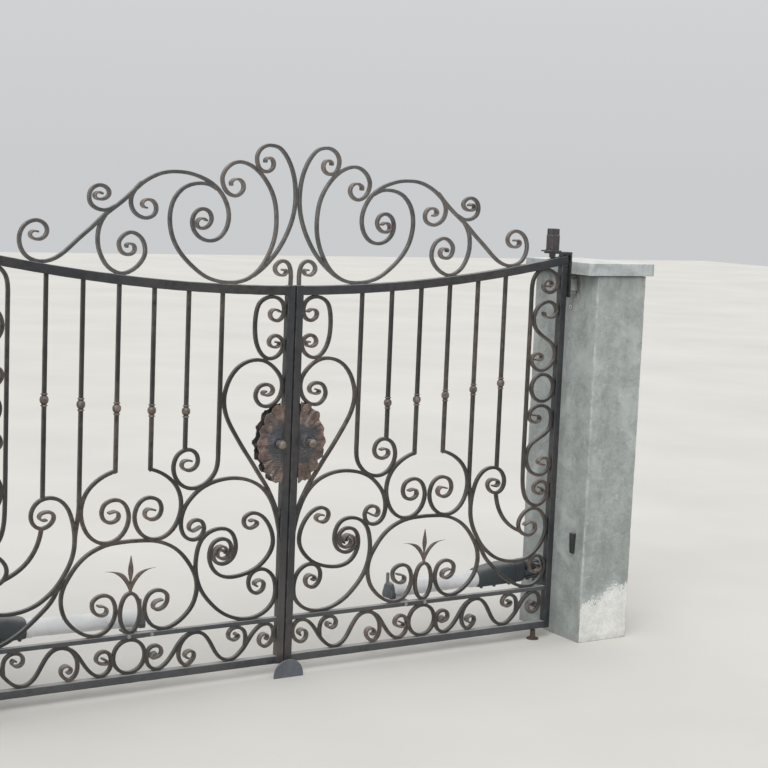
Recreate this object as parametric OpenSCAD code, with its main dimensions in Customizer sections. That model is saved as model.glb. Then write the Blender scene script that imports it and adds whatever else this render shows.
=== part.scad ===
// Wrought iron driveway gate: two leaves of scrollwork between concrete piers.
// Millimetres, +Z up, X along the gate, +Y to the inside. The origin is the
// middle of the right pier's foot. Inside the modules x is measured from the
// line where the leaves meet, and z from a datum just above the leaves' lower
// edge, so that one drawing serves both leaves.

/* [Leaf] */
// Height of the leaf datum above the ground
ground_gap = 65; // [60:1:90]
// Half of the gap between the two meeting stiles
meet_gap = 3; // [3:1:6]
// Width and depth of the square tubes of the stiles and lower rail
tube_w = 30; // [28:1:32]
// Height of the curved upper rail
top_rail_h = 34; // [30:1:36]
// Height of the middle rail
mid_rail_h = 17; // [16:1:20]
// Depth of the middle rail
mid_rail_d = 22; // [18:1:28]
// Side of the square bars
bar_w = 14; // [12:1:15]

/* [Scrolls] */
// Thickness of a scroll seen from the front
scroll_w = 13; // [10:1:14]
// Depth of a scroll
scroll_d = 15; // [12:1:16]
// Points worked out along each span of a scroll
smooth = 3; // [2:1:5]

/* [Hinges and drive] */
// Distance of each leaf's pivot from the meeting line
pivot_x = 1185; // [1180:1:1190]
// Diameter of the hinge pins
pin_d = 16; // [14:1:20]
// Play between a hinge pin and its hole, on the diameter
pin_play = 1; // [0.6:0.2:1.4]
// Diameter of the drive's outer tube
ram_d = 64; // [58:1:66]

/* [Piers] */
// Distance of the pier's jamb from the meeting line
jamb_x = 1320; // [1318:1:1340]
// Width of a pier along the gate
pier_w = 250; // [240:5:320]
// Depth of a pier
pier_d = 410; // [380:5:450]
// Height of a pier without its cap
pier_h = 1515; // [1490:5:1550]
// Overhang of the pier's cap on the jamb side
cap_over = 49; // [20:1:49]
// Overhang of the pier's cap on the far side
cap_far = 30; // [20:1:50]
// Overhang of the pier's cap to the street and to the inside
cap_front = 12; // [10:1:60]
// Thickness of the cap at its edge, and how much its middle stands higher
cap_h = 50; // [40:1:60]
cap_rise = 10; // [4:1:30]

/* [Hidden] */

pier_y0 = -135;                    // front face of the piers
origin_x = jamb_x + pier_w/2;      // middle of the right pier
origin_y = pier_y0 + pier_d/2;
leaf_z0 = -20;                     // lower edge of the leaf
mid_z = 141;                       // underside of the middle rail
rail_top = 1399;                   // top of the curved rail at the meeting line
rail_r = 6370;                     // radius of the curved rail
stile_in = meet_gap + tube_w;      // inner edge of the meeting stile
hinge_in = 1228;                   // inner edge of the hinge stile
hinge_out = hinge_in + tube_w;
pitch = 133;                       // spacing of the bars
bar_x = [for (k = [0:6]) 293 + k*pitch];

iron = "#33353b";
bronze = "#8a7160";
concrete = "#9a9c97";

// ---- places ----
module place() { translate([-origin_x, -origin_y, ground_gap]) children(); }
module side(s) { place() mirror([s < 0 ? 1 : 0, 0, 0]) children(); }
// a flat drawing in x and z becomes a plate of depth d centred on the leaf
module upright(d, y = 0) { translate([0, y + d/2, 0]) rotate([90, 0, 0]) linear_extrude(height = d) children(); }

// ---- curves ----
function rail_z(x) = rail_top + rail_r - sqrt(rail_r*rail_r - x*x);
function unit(v) = v / max(norm(v), 0.001);
function cr(a, b, c, d, t) = 0.5*((2*b) + (c - a)*t + (2*a - 5*b + 4*c - d)*t*t + (3*b - a - 3*c + d)*t*t*t);
function smoothed(P, n) = let (m = len(P) - 1)
  [for (i = [0:m-1]) for (k = [0:n-1]) cr(P[max(i-1, 0)], P[i], P[i+1], P[min(i+2, m)], k/n), P[m]];
function normal_at(Q, i) = let (t = unit(Q[min(i+1, len(Q)-1)] - Q[max(i-1, 0)])) [-t[1], t[0]];
// half thickness at point i of n, thinned at an end whose flag is 1
function half_at(i, n, w, e0, e1) = let (k = 12*smooth/3,
    a = e0 == 1 ? min(1, 0.45 + 0.55*i/k) : 1, b = e1 == 1 ? min(1, 0.45 + 0.55*(n - 1 - i)/k) : 1) w/2*min(a, b);
// a scroll bar along the points P, with thin ends where e0 or e1 is 1
module scroll(P, w = scroll_w, e0 = 1, e1 = 1) {
  Q = smoothed(P, smooth);
  n = len(Q);
  polygon(concat(
    [for (i = [0:n-1]) Q[i] + normal_at(Q, i)*half_at(i, n, w, e0, e1)],
    [for (i = [n-1:-1:0]) Q[i] - normal_at(Q, i)*half_at(i, n, w, e0, e1)]));
}
function flip_x(P, c) = [for (p = P) [2*c - p[0], p[1]]];
module ring(c, a, b, w) {
  difference() {
    polygon([for (i = [0:35]) c + [(a + w/2)*cos(i*10), (b + w/2)*sin(i*10)]]);
    polygon([for (i = [0:35]) c + [(a - w/2)*cos(i*10), (b - w/2)*sin(i*10)]]);
  }
}

// ---- scroll routes, right leaf ----
crest_tall = [[138,1843],[137,1854],[124,1861],[110,1855],[103,1840],[107,1823],[122,1811],[142,1810],[160,1820],[170,1841],[171,1866],[158,1889],[134,1903],
  [106,1904],[78,1896],[53,1871],[32,1836],[16,1791],[9,1742],[9,1693],[18,1644],[36,1595],[57,1555],[80,1520],[108,1488],[140,1458],[174,1434]];
crest_ring = [[272,1756],[273,1769],[258,1779],[239,1778],[225,1766],[222,1747],[233,1729],[253,1719],[274,1723],[292,1736],[304,1757],[308,1784],[295,1812],[270,1833],
  [239,1841],[204,1834],[169,1815],[137,1784],[110,1745],[92,1700],[85,1651],[85,1602],[95,1553],[116,1504],[144,1462],
  [180,1431],[222,1414],[267,1410],[316,1415],[365,1431],[410,1462],[449,1497],[478,1533],[498,1574],[508,1623],[505,1668],
  [491,1706],[463,1738],[428,1755],[386,1760],[352,1755],[326,1741]];
crest_s = [[366,1629],[378,1637],[393,1635],[403,1624],[402,1610],[388,1601],[368,1604],[352,1617],[345,1638],[357,1663],[386,1671],[412,1655],[422,1624],[413,1591],[386,1566],[350,1557],
  [314,1568],[288,1598],[277,1638],[282,1676],[298,1711],[323,1742],[358,1767],[400,1784],[445,1795],[498,1797],[540,1791],
  [582,1774],[622,1748],[677,1697],[719,1665],[761,1633],[796,1599],[838,1564],[873,1532],[903,1506],[936,1487],[971,1479],
  [1006,1484],[1034,1501],[1051,1529],[1055,1560],[1045,1591],[1021,1612],[992,1618],[968,1607],[957,1588],[961,1569],[976,1556],[997,1553],[1014,1561],[1017,1574],[1005,1582],[990,1579]];
crest_above = [[762,1712],[775,1718],[788,1712],[789,1700],[776,1693],[757,1694],[742,1703],[736,1718],[748,1735],[774,1742],[800,1729],[810,1704],[803,1676],[776,1659],[742,1657],[712,1672]];
crest_below = [[597,1668],[609,1671],[615,1681],[609,1692],[593,1698],[574,1693],[562,1678],[561,1657],[574,1640],[603,1632],[635,1645],[653,1669],[656,1700],[642,1730],[616,1756]];
crest_c = [[668,1531],[670,1540],[657,1545],[643,1540],[637,1526],[643,1513],[658,1506],[677,1508],[692,1521],[698,1549],[680,1573],[652,1584],[622,1572],[603,1547],[598,1510],
  [614,1479],[642,1454],[678,1440],[712,1447],[743,1469],[764,1504],[775,1540],[775,1581],[765,1616],[748,1642]];
hook = [[18,1399],[17,1425],[18,1450],[27,1477],[48,1490],[71,1484],[85,1466],[80,1448],[64,1437],[46,1438],[37,1448],[42,1458],[54,1456]];
small_c = [[58,1303],[70,1311],[85,1312],[97,1303],[98,1288],[87,1275],[68,1270],[50,1280],[40,1302],[44,1332],[63,1352],[92,1359],[120,1353],[144,1335],
  [155,1304],[159,1266],[158,1227],[152,1192],[137,1159],[116,1138],[92,1131],[66,1139],[47,1157],[38,1182],[49,1206],[71,1217],
  [90,1211],[100,1196],[96,1181],[80,1173],[63,1175],[55,1184],[60,1192],[70,1191]];
heart = [[106,1012],[118,1009],[117,999],[101,996],[84,1001],[76,1014],[82,1028],[100,1037],[127,1034],[144,1016],[148,989],[131,964],[106,955],[78,961],[55,979],
  [42,1004],[38,1031],[44,1060],[66,1090],[95,1114],[127,1127],[162,1128],[198,1118],[229,1097],[253,1066],[268,1031],[276,996],
  [274,958],[263,922],[246,888],[218,843],[190,800],[155,751],[120,699],[92,660],[74,627],[58,595],[44,560]];
arch = [[356,526],[371,518],[388,511],[400,517],[403,532],[392,547],[370,552],[350,543],[341,522],[346,500],[361,484],[386,479],[411,488],[428,509],[435,538],
  [432,570],[421,601],[400,630],[368,660],[330,680],[288,692],[239,697],[190,692],[148,678],[113,657],[86,629],[66,597],[49,555],[38,515],[31,480],[26,450]];
inner_c = [[157,531],[143,535],[129,530],[125,519],[136,509],[155,504],[172,511],[181,530],[174,550],[147,562],[116,554],[92,535],[73,508],[60,478],[55,445],
  [62,415],[82,385],[112,358],[150,340],[190,330],[228,327],[262,333],[290,350],[310,378],[318,412],[312,446],[296,466],[270,474],
  [246,468],[231,450],[229,428],[239,408],[259,398],[279,405],[286,421],[277,435],[263,433],[260,424]];
spiral_d = [[118,284],[129,288],[127,299],[113,305],[97,303],[88,288],[94,268],[112,257],[133,260],[149,278],[154,303],[147,327],[127,343],[102,347],[78,340],
  [56,321],[43,296],[38,261],[43,226],[62,198],[92,176],[127,165],[162,163],[204,170],[246,188],[281,212],[316,247],[341,279],
  [358,312],[369,352],[372,387],[369,422],[361,457],[344,485],[316,505],[281,513],[248,508],[225,490],[212,461],[210,429],
  [221,401],[242,384],[267,379],[291,389],[302,411],[296,434],[276,447],[255,443],[246,429],[252,416]];
lyre = [[538,600],[552,604],[567,605],[577,594],[575,579],[562,569],[545,566],[527,572],[515,587],[512,608],[522,632],[547,645],[575,645],[599,629],[612,604],
  [616,576],[608,544],[589,516],[561,498],[530,493],[498,500],[470,520],[450,548],[438,583],[435,618],[442,653],[456,681],[477,705],
  [505,726],[533,740],[560,749]];
omega = [[501,271],[517,269],[531,263],[537,251],[531,239],[515,235],[496,242],[484,256],[480,272],[483,289],[502,304],[530,307],[555,293],[568,264],[569,233],[557,201],[533,175],
  [498,163],[463,168],[428,187],[400,212],[379,240],[367,275],[364,310],[372,347],[390,381],[417,419],[449,450],[484,471],[526,486],
  [568,492],[625,494]];
bar_j = [[293,800],[293,770],[297,737],[312,709],[337,685],[365,672],[393,668],[421,674],[446,691],[463,716],[470,744],[466,772],[452,796],
  [426,810],[400,809],[380,793],[373,768],[382,746],[404,735],[426,739],[438,752],[434,767],[418,773],[400,769]];
side_s = [[943,594],[959,592],[970,602],[965,615],[947,621],[927,619],[916,605],[920,587],[936,571],[961,563],[985,574],[998,596],[998,623],[985,648],[964,664],[936,670],[908,665],
  [884,650],[863,623],[850,588],[842,553],[838,511],[842,469],[856,427],[880,385],[905,350],[936,322],[971,298],[1013,282],
  [1055,275],[1097,275],[1136,284],[1170,305],[1196,332],[1215,364],[1223,399],[1218,434],[1203,462],[1181,481],[1153,489],
  [1121,482],[1097,462],[1083,438],[1083,413],[1097,392],[1120,379],[1146,379],[1165,392],[1169,412],[1160,428],[1141,433],[1122,429],[1111,421]];
bar5_foot = [[825,655],[825,635],[826,612],[829,588],[833,562],[837,535],[839,508]];
crescent = [[961,558],[968,525],[982,490],[1003,458],[1030,431],[1062,410],[1092,396]];
side_low = [[879,382],[900,340],[922,301],[957,266],[992,235],[1027,207],[1062,186],[1097,169],[1132,163],[1167,167],[1197,185],[1216,213],[1223,245],
  [1213,269],[1195,286],[1170,287],[1152,271],[1146,248],[1156,228],[1176,219],[1195,226],[1202,242],[1192,253],[1177,252]];
bar7_route = [[1163,1399],[1179,1397],[1191,1405],[1186,1418],[1169,1424],[1152,1414],[1147,1396],[1157,1380],[1179,1372],[1205,1381],[1222,1407],[1215,1438],[1188,1460],[1153,1468],[1119,1457],
  [1098,1430],[1091,1395],[1091,1340],[1091,1200],[1091,1000],[1091,800],[1091,640],[1096,575],[1111,532],[1136,508],[1167,499],[1195,508],
  [1216,532],[1223,563],[1212,588],[1187,599],[1162,593],[1148,575],[1154,557],[1174,547],[1195,550],[1201,560],[1189,569],[1175,574]];
panel_s = [[1156,1294],[1160,1280],[1176,1271],[1196,1271],[1213,1281],[1221,1299],[1212,1320],[1196,1332],[1174,1337],[1139,1325],[1115,1297],[1108,1262],[1118,1230],[1146,1203],
  [1181,1182],[1207,1164],[1223,1136],[1222,1101],[1200,1073],[1167,1056],[1136,1059],[1115,1077],[1106,1098],[1114,1118],[1134,1127],[1154,1120],[1158,1106],[1144,1098],[1122,1101]];
panel_s2 = [[1128,874],[1146,874],[1160,867],[1161,853],[1146,844],[1126,846],[1111,858],[1108,874],[1116,893],[1137,908],[1167,913],[1196,905],[1217,884],
  [1223,852],[1216,818],[1191,793],[1153,772],[1125,754],[1109,730],[1104,695],[1114,660],[1136,636],[1167,625],[1196,629],[1216,646],
  [1224,668],[1214,690],[1193,697],[1172,691],[1164,678],[1176,668],[1196,667]];
wave = [[74,75],[66,84],[70,95],[84,98],[97,90],[102,74],[95,57],[78,49],[60,55],[45,74],[40,100],[50,124],[71,136],[96,132],[117,118],[138,94],[158,63],[180,38],
  [204,20],[232,15],[260,26],[281,49],[298,79],[316,108],[337,128],[365,136],[393,129],[414,111],[428,86],[431,56],[422,31],[402,16],[381,26],
  [368,46],[373,64],[391,69],[406,59],[404,46],[392,42]];
band_up = [[205,107],[196,112],[189,103],[197,92],[213,88],[228,97],[231,115],[220,130],[203,136],[184,133],[165,118],[158,92],[161,60]];
band_low = [[522,78],[533,75],[543,67],[537,58],[520,60],[504,67],[499,80],[504,94],[518,103],[537,102],[550,91],[557,69],[554,43],[540,24],[518,15],[494,22],[470,43],[449,72],[431,100],[411,121],[388,132]];

// ---- frame in outline ----
module rail_arc(x0, x1, h, n = 24) {
  polygon(concat([for (i = [0:n]) let (x = x0 + (x1 - x0)*i/n) [x, rail_z(x)]],
    [for (i = [n:-1:0]) let (x = x0 + (x1 - x0)*i/n) [x, rail_z(x) - h]]));
}
module top_rail_2d() { rail_arc(stile_in, hinge_out, top_rail_h); }
module middle_rail_2d() { translate([stile_in, mid_z]) square([hinge_in - stile_in, mid_rail_h]); }
module bottom_rail_2d() { translate([stile_in, leaf_z0]) square([hinge_in - stile_in, tube_w]); }
module meeting_stile_2d() { translate([meet_gap, leaf_z0]) square([tube_w, rail_top - leaf_z0]); }
module hinge_stile_2d() {
  polygon([[hinge_in, leaf_z0], [hinge_out, leaf_z0], [hinge_out, rail_z(hinge_out) - top_rail_h], [hinge_in, rail_z(hinge_in) - top_rail_h]]);
}
module frame_2d() { top_rail_2d(); middle_rail_2d(); bottom_rail_2d(); meeting_stile_2d(); hinge_stile_2d(); }

// ---- groups of bars and scrolls in outline ----
module straight_bar_2d(x, z0) { translate([x - bar_w/2, z0]) square([bar_w, rail_z(x - bar_w/2) - top_rail_h + 3 - z0]); }
module bars_2d() {
  difference() {
    union() {
      straight_bar_2d(bar_x[0], 790);
      scroll(bar_j, bar_w - 1, 0, 1);
      straight_bar_2d(bar_x[1], 813);
      straight_bar_2d(bar_x[2], 744);
      straight_bar_2d(bar_x[3], 744);
      straight_bar_2d(bar_x[4], 645);
      scroll(bar5_foot, bar_w, 0, 0);
      straight_bar_2d(bar_x[5], 668);
      scroll(bar7_route, bar_w - 1);
    }
    frame_2d();
  }
}
module lyre_2d() { scroll(lyre, scroll_w, 1, 0); scroll(flip_x(lyre, 626.5), scroll_w, 1, 0); }
module omega_2d() { scroll(omega, scroll_w, 1, 0); scroll(flip_x(omega, 625), scroll_w, 1, 0); }
module fleur_2d() {
  ring([625, 234], 38, 71, scroll_w);
  polygon([[620, 306], [630, 306], [632, 330], [629, 345], [634, 368], [637, 388], [633, 412], [625, 441], [617, 412], [613, 388], [616, 368], [621, 345], [618, 330]]);
  for (m = [0, 1]) translate([625, 0]) mirror([m, 0]) polygon([[0, 318], [6, 332], [20, 352], [40, 372], [64, 384], [100, 391], [64, 396], [38, 391], [18, 376], [4, 352], [0, 345]]);
}
module heart_2d() { scroll(small_c); scroll(heart, scroll_w, 1, 0); }
module lower_2d() { scroll(arch, scroll_w, 1, 0); scroll(inner_c); scroll(spiral_d); lyre_2d(); omega_2d(); fleur_2d(); }
module side_2d() {
  scroll(side_s); scroll(crescent, scroll_w, 0, 0); scroll(side_low, scroll_w, 0, 1);
  scroll(panel_s); ring([1168, 985], 55, 55, scroll_w); scroll(panel_s2);
}
module band_half_2d() { scroll(wave); scroll(band_up, scroll_w, 1, 0); scroll(band_low, scroll_w, 1, 0); }
module band_2d() {
  band_half_2d();
  translate([1250, 0]) mirror([1, 0]) band_half_2d();
  ring([625, 75.5], 60.5, 60.5, scroll_w);
}
module crest_2d() {
  scroll(crest_tall, scroll_w, 1, 0); scroll(crest_ring, scroll_w, 1, 0); scroll(crest_s);
  scroll(crest_above, scroll_w, 1, 0); scroll(crest_below, scroll_w, 1, 0); scroll(crest_c, scroll_w, 1, 0);
  scroll(hook, scroll_w, 0, 1);
}

// ---- leaf pieces ----
module top_rail(s) {
  color(iron) side(s) difference() {
    upright(tube_w) top_rail_2d();
    translate([pivot_x, 0, rail_top]) cylinder(h = 200, d = pin_d + pin_play, $fn = 48);
  }
}
module middle_rail(s) { color(iron) side(s) upright(mid_rail_d) middle_rail_2d(); }
module bottom_rail(s) {
  color(iron) side(s) difference() {
    upright(tube_w) bottom_rail_2d();
    translate([pivot_x, 0, leaf_z0 - 40]) cylinder(h = 60, d = pin_d + pin_play, $fn = 48);
  }
}
module hinge_stile(s) { color(iron) side(s) upright(tube_w) hinge_stile_2d(); }
module meeting_stile(s) { color(iron) side(s) upright(tube_w) meeting_stile_2d(); }
// turned collar on a square bar
module collar(x, z) {
  translate([x, 0, z]) rotate_extrude($fn = 32)
    polygon([[0, -21], [10.5, -21], [12, -18], [11, -14], [14, -10], [15.5, -4], [15.5, 4], [14, 10], [11, 14], [12, 18], [10.5, 21], [0, 21]]);
}
collar_z = [950, 958, 970, 989, 1010];
module bars(s) {
  color(iron) side(s) {
    upright(bar_w) bars_2d();
    for (k = [0:4]) collar(bar_x[k + 1], collar_z[k]);
  }
}
module crest(s) { color(iron) side(s) upright(scroll_d) difference() { crest_2d(); frame_2d(); } }
module heart_scrolls(s) { color(iron) side(s) upright(scroll_d) difference() { heart_2d(); frame_2d(); bars_2d(); lower_2d(); } }
module side_scrolls(s) { color(iron) side(s) upright(scroll_d) difference() { side_2d(); frame_2d(); bars_2d(); lower_2d(); } }
module lower_scrolls(s) { color(iron) side(s) upright(scroll_d) difference() { lower_2d(); frame_2d(); bars_2d(); } }
module band_scrolls(s) { color(iron) side(s) upright(scroll_d) difference() { band_2d(); frame_2d(); } }

// half rosette on each leaf: a front and a back half disc with wavy rims, and a knob on a pressed dome
rosette_z = 819;
function rim(a) = 158 + 5*cos(a*18) + 3*cos(a*7 + 40);
module half_disc_2d() {
  intersection() {
    translate([0, rosette_z]) polygon([for (i = [-45:45]) [0.9*rim(i*2)*cos(i*2), 1.02*rim(i*2)*sin(i*2)]]);
    translate([stile_in, rosette_z - 200]) square([200, 400]);
  }
}
module rosette(s) {
  color(bronze) side(s) {
    upright(3, -20) half_disc_2d();
    upright(3, 20) half_disc_2d();
    hull() {
      upright(1, -20) intersection() {
        translate([0, rosette_z]) scale([0.85, 1]) circle(r = 132, $fn = 48);
        translate([stile_in, rosette_z - 200]) square([200, 400]);
      }
      translate([64, -40, rosette_z]) rotate([90, 0, 0]) cylinder(h = 2, d = 56, $fn = 32);
    }
    translate([64, -38, rosette_z]) rotate([90, 0, 0]) cylinder(h = 18, d = 16, $fn = 32);
    translate([64, -60, rosette_z]) sphere(d = 34, $fn = 32);
    translate([stile_in, -20, rosette_z - 100]) cube([8, 40, 200]);
  }
}

// ---- drive ----
drive_z = 181;                       // height of the drive's axis
rear_x = 1257; rear_y = 150;         // drive's rear pivot
front_x = 583; front_y = 110;        // carriage pivot with the leaf closed
drive_len = norm([rear_x - front_x, rear_y - front_y]);
drive_a = atan2(rear_y - front_y, rear_x - front_x);
// the drive is drawn along -X from its rear pivot and turned into place
module drive_place(s) { side(s) translate([rear_x, rear_y, drive_z]) rotate([0, 0, drive_a]) children(); }
module rounded_bar(l, w, h, r) {
  rotate([0, -90, 0]) linear_extrude(height = l) union() {
    square([h - 2*r, w], center = true); square([h, w - 2*r], center = true);
    for (a = [-1, 1], b = [-1, 1]) translate([a*(h/2 - r), b*(w/2 - r)]) circle(r = r, $fn = 24);
  }
}
module drive_body(s) {
  color("#3a3f47") drive_place(s) {
    difference() {
      union() {
        translate([-40, 0, 10]) rounded_bar(250, 84, 90, 16);
        translate([-285, 0, 0]) rotate([0, -90, 0]) cylinder(h = 430, d = ram_d, $fn = 48);
        translate([-712, 0, 0]) rotate([0, -90, 0]) linear_extrude(height = 20) polygon([[26, -18], [26, 18], [-16, 33], [-27, 33], [-33, 27], [-33, -27], [-27, -33], [-16, -33]]);
        translate([-723, 10, 15]) cylinder(h = 53, d = 14, $fn = 24);
        translate([-45, -38, 34]) cube([83, 76, 21]);
        translate([-60, -25, -14]) cube([80, 50, 28]);
      }
      translate([0, 0, -40]) cylinder(h = 80, d = 13, $fn = 32);
    }
  }
}
// the carriage hangs under the tube and ends just above the leaf's bracket
module drive_carriage(s) {
  color("#8a9099") drive_place(s) translate([-drive_len, 0, 0]) {
    difference() {
      translate([-25, -20, -ram_d/2 - 3]) cube([50, 40, 18]);
      rotate([0, 90, 0]) cylinder(h = 100, d = ram_d + 1, center = true, $fn = 48);
    }
  }
}
module drive_bracket(s) {
  color("#8a9099") side(s) {
    translate([jamb_x - 8, rear_y - 38, drive_z - 62]) cube([8, 76, 88]);
    for (z = [-24, 16]) difference() {
      translate([rear_x - 20, rear_y - 25, drive_z + z]) cube([jamb_x - rear_x + 14, 50, 8]);
      translate([rear_x, rear_y, drive_z + z - 5]) cylinder(h = 20, d = 13, $fn = 32);
    }
    translate([rear_x, rear_y, drive_z - 34]) cylinder(h = 62, d = 12, $fn = 32);
  }
}
module leaf_bracket(s) {
  color("#8a9099") side(s) {
    translate([front_x - 60, mid_rail_d/2, mid_z - 6]) cube([120, 6, 23]);
    difference() {
      translate([front_x - 25, mid_rail_d/2, mid_z - 8]) cube([50, front_y + 22 - mid_rail_d/2, 8]);
      translate([front_x, front_y, mid_z - 20]) cylinder(h = 30, d = 13, $fn = 32);
    }
  }
}

// ---- fixed pieces ----
module pier(s) { color(concrete) side(s) translate([jamb_x, pier_y0, -ground_gap]) cube([pier_w, pier_d, pier_h]); }
module pier_cap(s) {
  w = pier_w + cap_over + cap_far;
  d = pier_d + 2*cap_front;
  color("#a9aeb0") side(s) translate([jamb_x - cap_over, pier_y0 - cap_front, pier_h - ground_gap]) intersection() {
    translate([0, d, 0]) rotate([90, 0, 0]) linear_extrude(height = d) polygon([[0, 0], [w, 0], [w, cap_h], [w/2, cap_h + cap_rise], [0, cap_h]]);
    rotate([90, 0, 90]) linear_extrude(height = w) polygon([[0, 0], [d, 0], [d, cap_h], [d - w/2, cap_h + cap_rise], [w/2, cap_h + cap_rise], [0, cap_h]]);
  }
}
module ground_stop() {
  color("#59656f") place() translate([0, -53, -ground_gap]) {
    rotate([90, 0, 0]) translate([0, 0, -4]) linear_extrude(height = 8) {
      translate([-62, 0]) square([124, 8]);
      intersection() {
        translate([0, 8]) scale([1, 0.97]) circle(r = 62, $fn = 64);
        translate([-62, 0]) square([124, 80]);
      }
    }
    translate([-45, 4, 0]) cube([90, 26, 6]);
  }
}
arm_z = rail_z(pivot_x) + 20;
plate_x = jamb_x - 55;               // gate side of the upright plate that carries the arm
module pivot_bracket(s) {
  color(iron) side(s) {
    translate([plate_x, -22, 1355]) cube([6, 82, arm_z - 1355]);
    translate([pivot_x - 16, -22, arm_z]) cube([plate_x + 6 - pivot_x + 16, 57, 8]);
    translate([plate_x + 6, 0, 1365]) cube([jamb_x - plate_x - 6, 50, 80]);
    translate([pivot_x, 0, rail_z(pivot_x) + 4]) cylinder(h = arm_z - rail_z(pivot_x) - 4, d = 26, $fn = 48);
    translate([pivot_x, 0, rail_z(pivot_x) - top_rail_h + 6]) cylinder(h = 40, d = pin_d, $fn = 48);
  }
}
// box on a foot plate, with a smaller upper part
module pivot_housing(s) {
  color("#3f3a40") side(s) translate([pivot_x, 0, arm_z + 8]) {
    translate([-40, -24, 0]) cube([67, 48, 6]);
    translate([-19, -20, 6]) cube([38, 40, 62]);
    translate([-16, -17, 68]) cube([32, 34, 25]);
  }
}
module floor_pivot(s) {
  color("#5d4a42") side(s) {
    translate([pivot_x, 0, -ground_gap]) cylinder(h = 5, d = 50, $fn = 64);
    translate([pivot_x, 0, -ground_gap]) cylinder(h = ground_gap + leaf_z0 - 5, d = 21, $fn = 48);
    translate([pivot_x, 0, -ground_gap]) cylinder(h = ground_gap + leaf_z0 + 15, d = pin_d, $fn = 48);
  }
}
module photocell(s) { color("#2f3236") side(s) translate([jamb_x - 15, -82, 300]) cube([15, 28, 86]); }

// ---- named pieces ----
module right_pier() { pier(1); }
module left_pier() { pier(-1); }
module right_pier_cap() { pier_cap(1); }
module left_pier_cap() { pier_cap(-1); }
module right_pivot_bracket() { pivot_bracket(1); }
module left_pivot_bracket() { pivot_bracket(-1); }
module right_pivot_housing() { pivot_housing(1); }
module left_pivot_housing() { pivot_housing(-1); }
module right_floor_pivot() { floor_pivot(1); }
module left_floor_pivot() { floor_pivot(-1); }
module right_drive_bracket() { drive_bracket(1); }
module left_drive_bracket() { drive_bracket(-1); }
module right_photocell() { photocell(1); }
module left_photocell() { photocell(-1); }
module right_drive_body() { drive_body(1); }
module left_drive_body() { drive_body(-1); }
module right_drive_carriage() { drive_carriage(1); }
module left_drive_carriage() { drive_carriage(-1); }
module right_top_rail() { top_rail(1); }
module left_top_rail() { top_rail(-1); }
module right_middle_rail() { middle_rail(1); }
module left_middle_rail() { middle_rail(-1); }
module right_bottom_rail() { bottom_rail(1); }
module left_bottom_rail() { bottom_rail(-1); }
module right_hinge_stile() { hinge_stile(1); }
module left_hinge_stile() { hinge_stile(-1); }
module right_meeting_stile() { meeting_stile(1); }
module left_meeting_stile() { meeting_stile(-1); }
module right_bars() { bars(1); }
module left_bars() { bars(-1); }
module right_crest() { crest(1); }
module left_crest() { crest(-1); }
module right_heart_scrolls() { heart_scrolls(1); }
module left_heart_scrolls() { heart_scrolls(-1); }
module right_side_scrolls() { side_scrolls(1); }
module left_side_scrolls() { side_scrolls(-1); }
module right_lower_scrolls() { lower_scrolls(1); }
module left_lower_scrolls() { lower_scrolls(-1); }
module right_band_scrolls() { band_scrolls(1); }
module left_band_scrolls() { band_scrolls(-1); }
module right_rosette() { rosette(1); }
module left_rosette() { rosette(-1); }
module right_leaf_bracket() { leaf_bracket(1); }
module left_leaf_bracket() { leaf_bracket(-1); }

right_pier();
left_pier();
right_pier_cap();
left_pier_cap();
ground_stop();
right_pivot_bracket();
left_pivot_bracket();
right_pivot_housing();
left_pivot_housing();
right_floor_pivot();
left_floor_pivot();
right_drive_bracket();
left_drive_bracket();
right_photocell();
left_photocell();
right_drive_body();
left_drive_body();
right_drive_carriage();
left_drive_carriage();
right_top_rail();
right_middle_rail();
right_bottom_rail();
right_hinge_stile();
right_meeting_stile();
right_bars();
right_crest();
right_heart_scrolls();
right_side_scrolls();
right_lower_scrolls();
right_band_scrolls();
right_rosette();
right_leaf_bracket();
left_top_rail();
left_middle_rail();
left_bottom_rail();
left_hinge_stile();
left_meeting_stile();
left_bars();
left_crest();
left_heart_scrolls();
left_side_scrolls();
left_lower_scrolls();
left_band_scrolls();
left_rosette();
left_leaf_bracket();
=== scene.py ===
# Looks of the wrought iron driveway gate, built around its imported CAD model.
import bpy
import bmesh
import math
import numpy as np
from mathutils import Vector, Matrix, noise


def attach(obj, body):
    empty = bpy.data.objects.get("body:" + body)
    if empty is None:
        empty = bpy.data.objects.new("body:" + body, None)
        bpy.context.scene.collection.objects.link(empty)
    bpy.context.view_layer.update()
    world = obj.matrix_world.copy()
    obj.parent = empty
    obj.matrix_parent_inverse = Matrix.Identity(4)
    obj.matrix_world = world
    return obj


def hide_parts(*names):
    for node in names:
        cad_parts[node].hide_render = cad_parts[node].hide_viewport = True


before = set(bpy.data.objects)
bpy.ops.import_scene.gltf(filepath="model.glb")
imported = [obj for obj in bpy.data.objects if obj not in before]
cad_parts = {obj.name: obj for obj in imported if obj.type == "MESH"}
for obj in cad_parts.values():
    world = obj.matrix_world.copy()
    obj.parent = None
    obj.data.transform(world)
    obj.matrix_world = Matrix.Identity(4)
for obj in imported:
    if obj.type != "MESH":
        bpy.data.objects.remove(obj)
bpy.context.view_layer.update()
scene = bpy.context.scene

# Gate coordinates in millimetres: x from the meeting line, y from the leaf's middle plane, z from the datum.
# Row frame in metres: X = (x - 1445)/1000, Y = (y - 70)/1000, Z = (z + 65)/1000.
OX, OY, OZ = 1445.0, 70.0, 65.0


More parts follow.
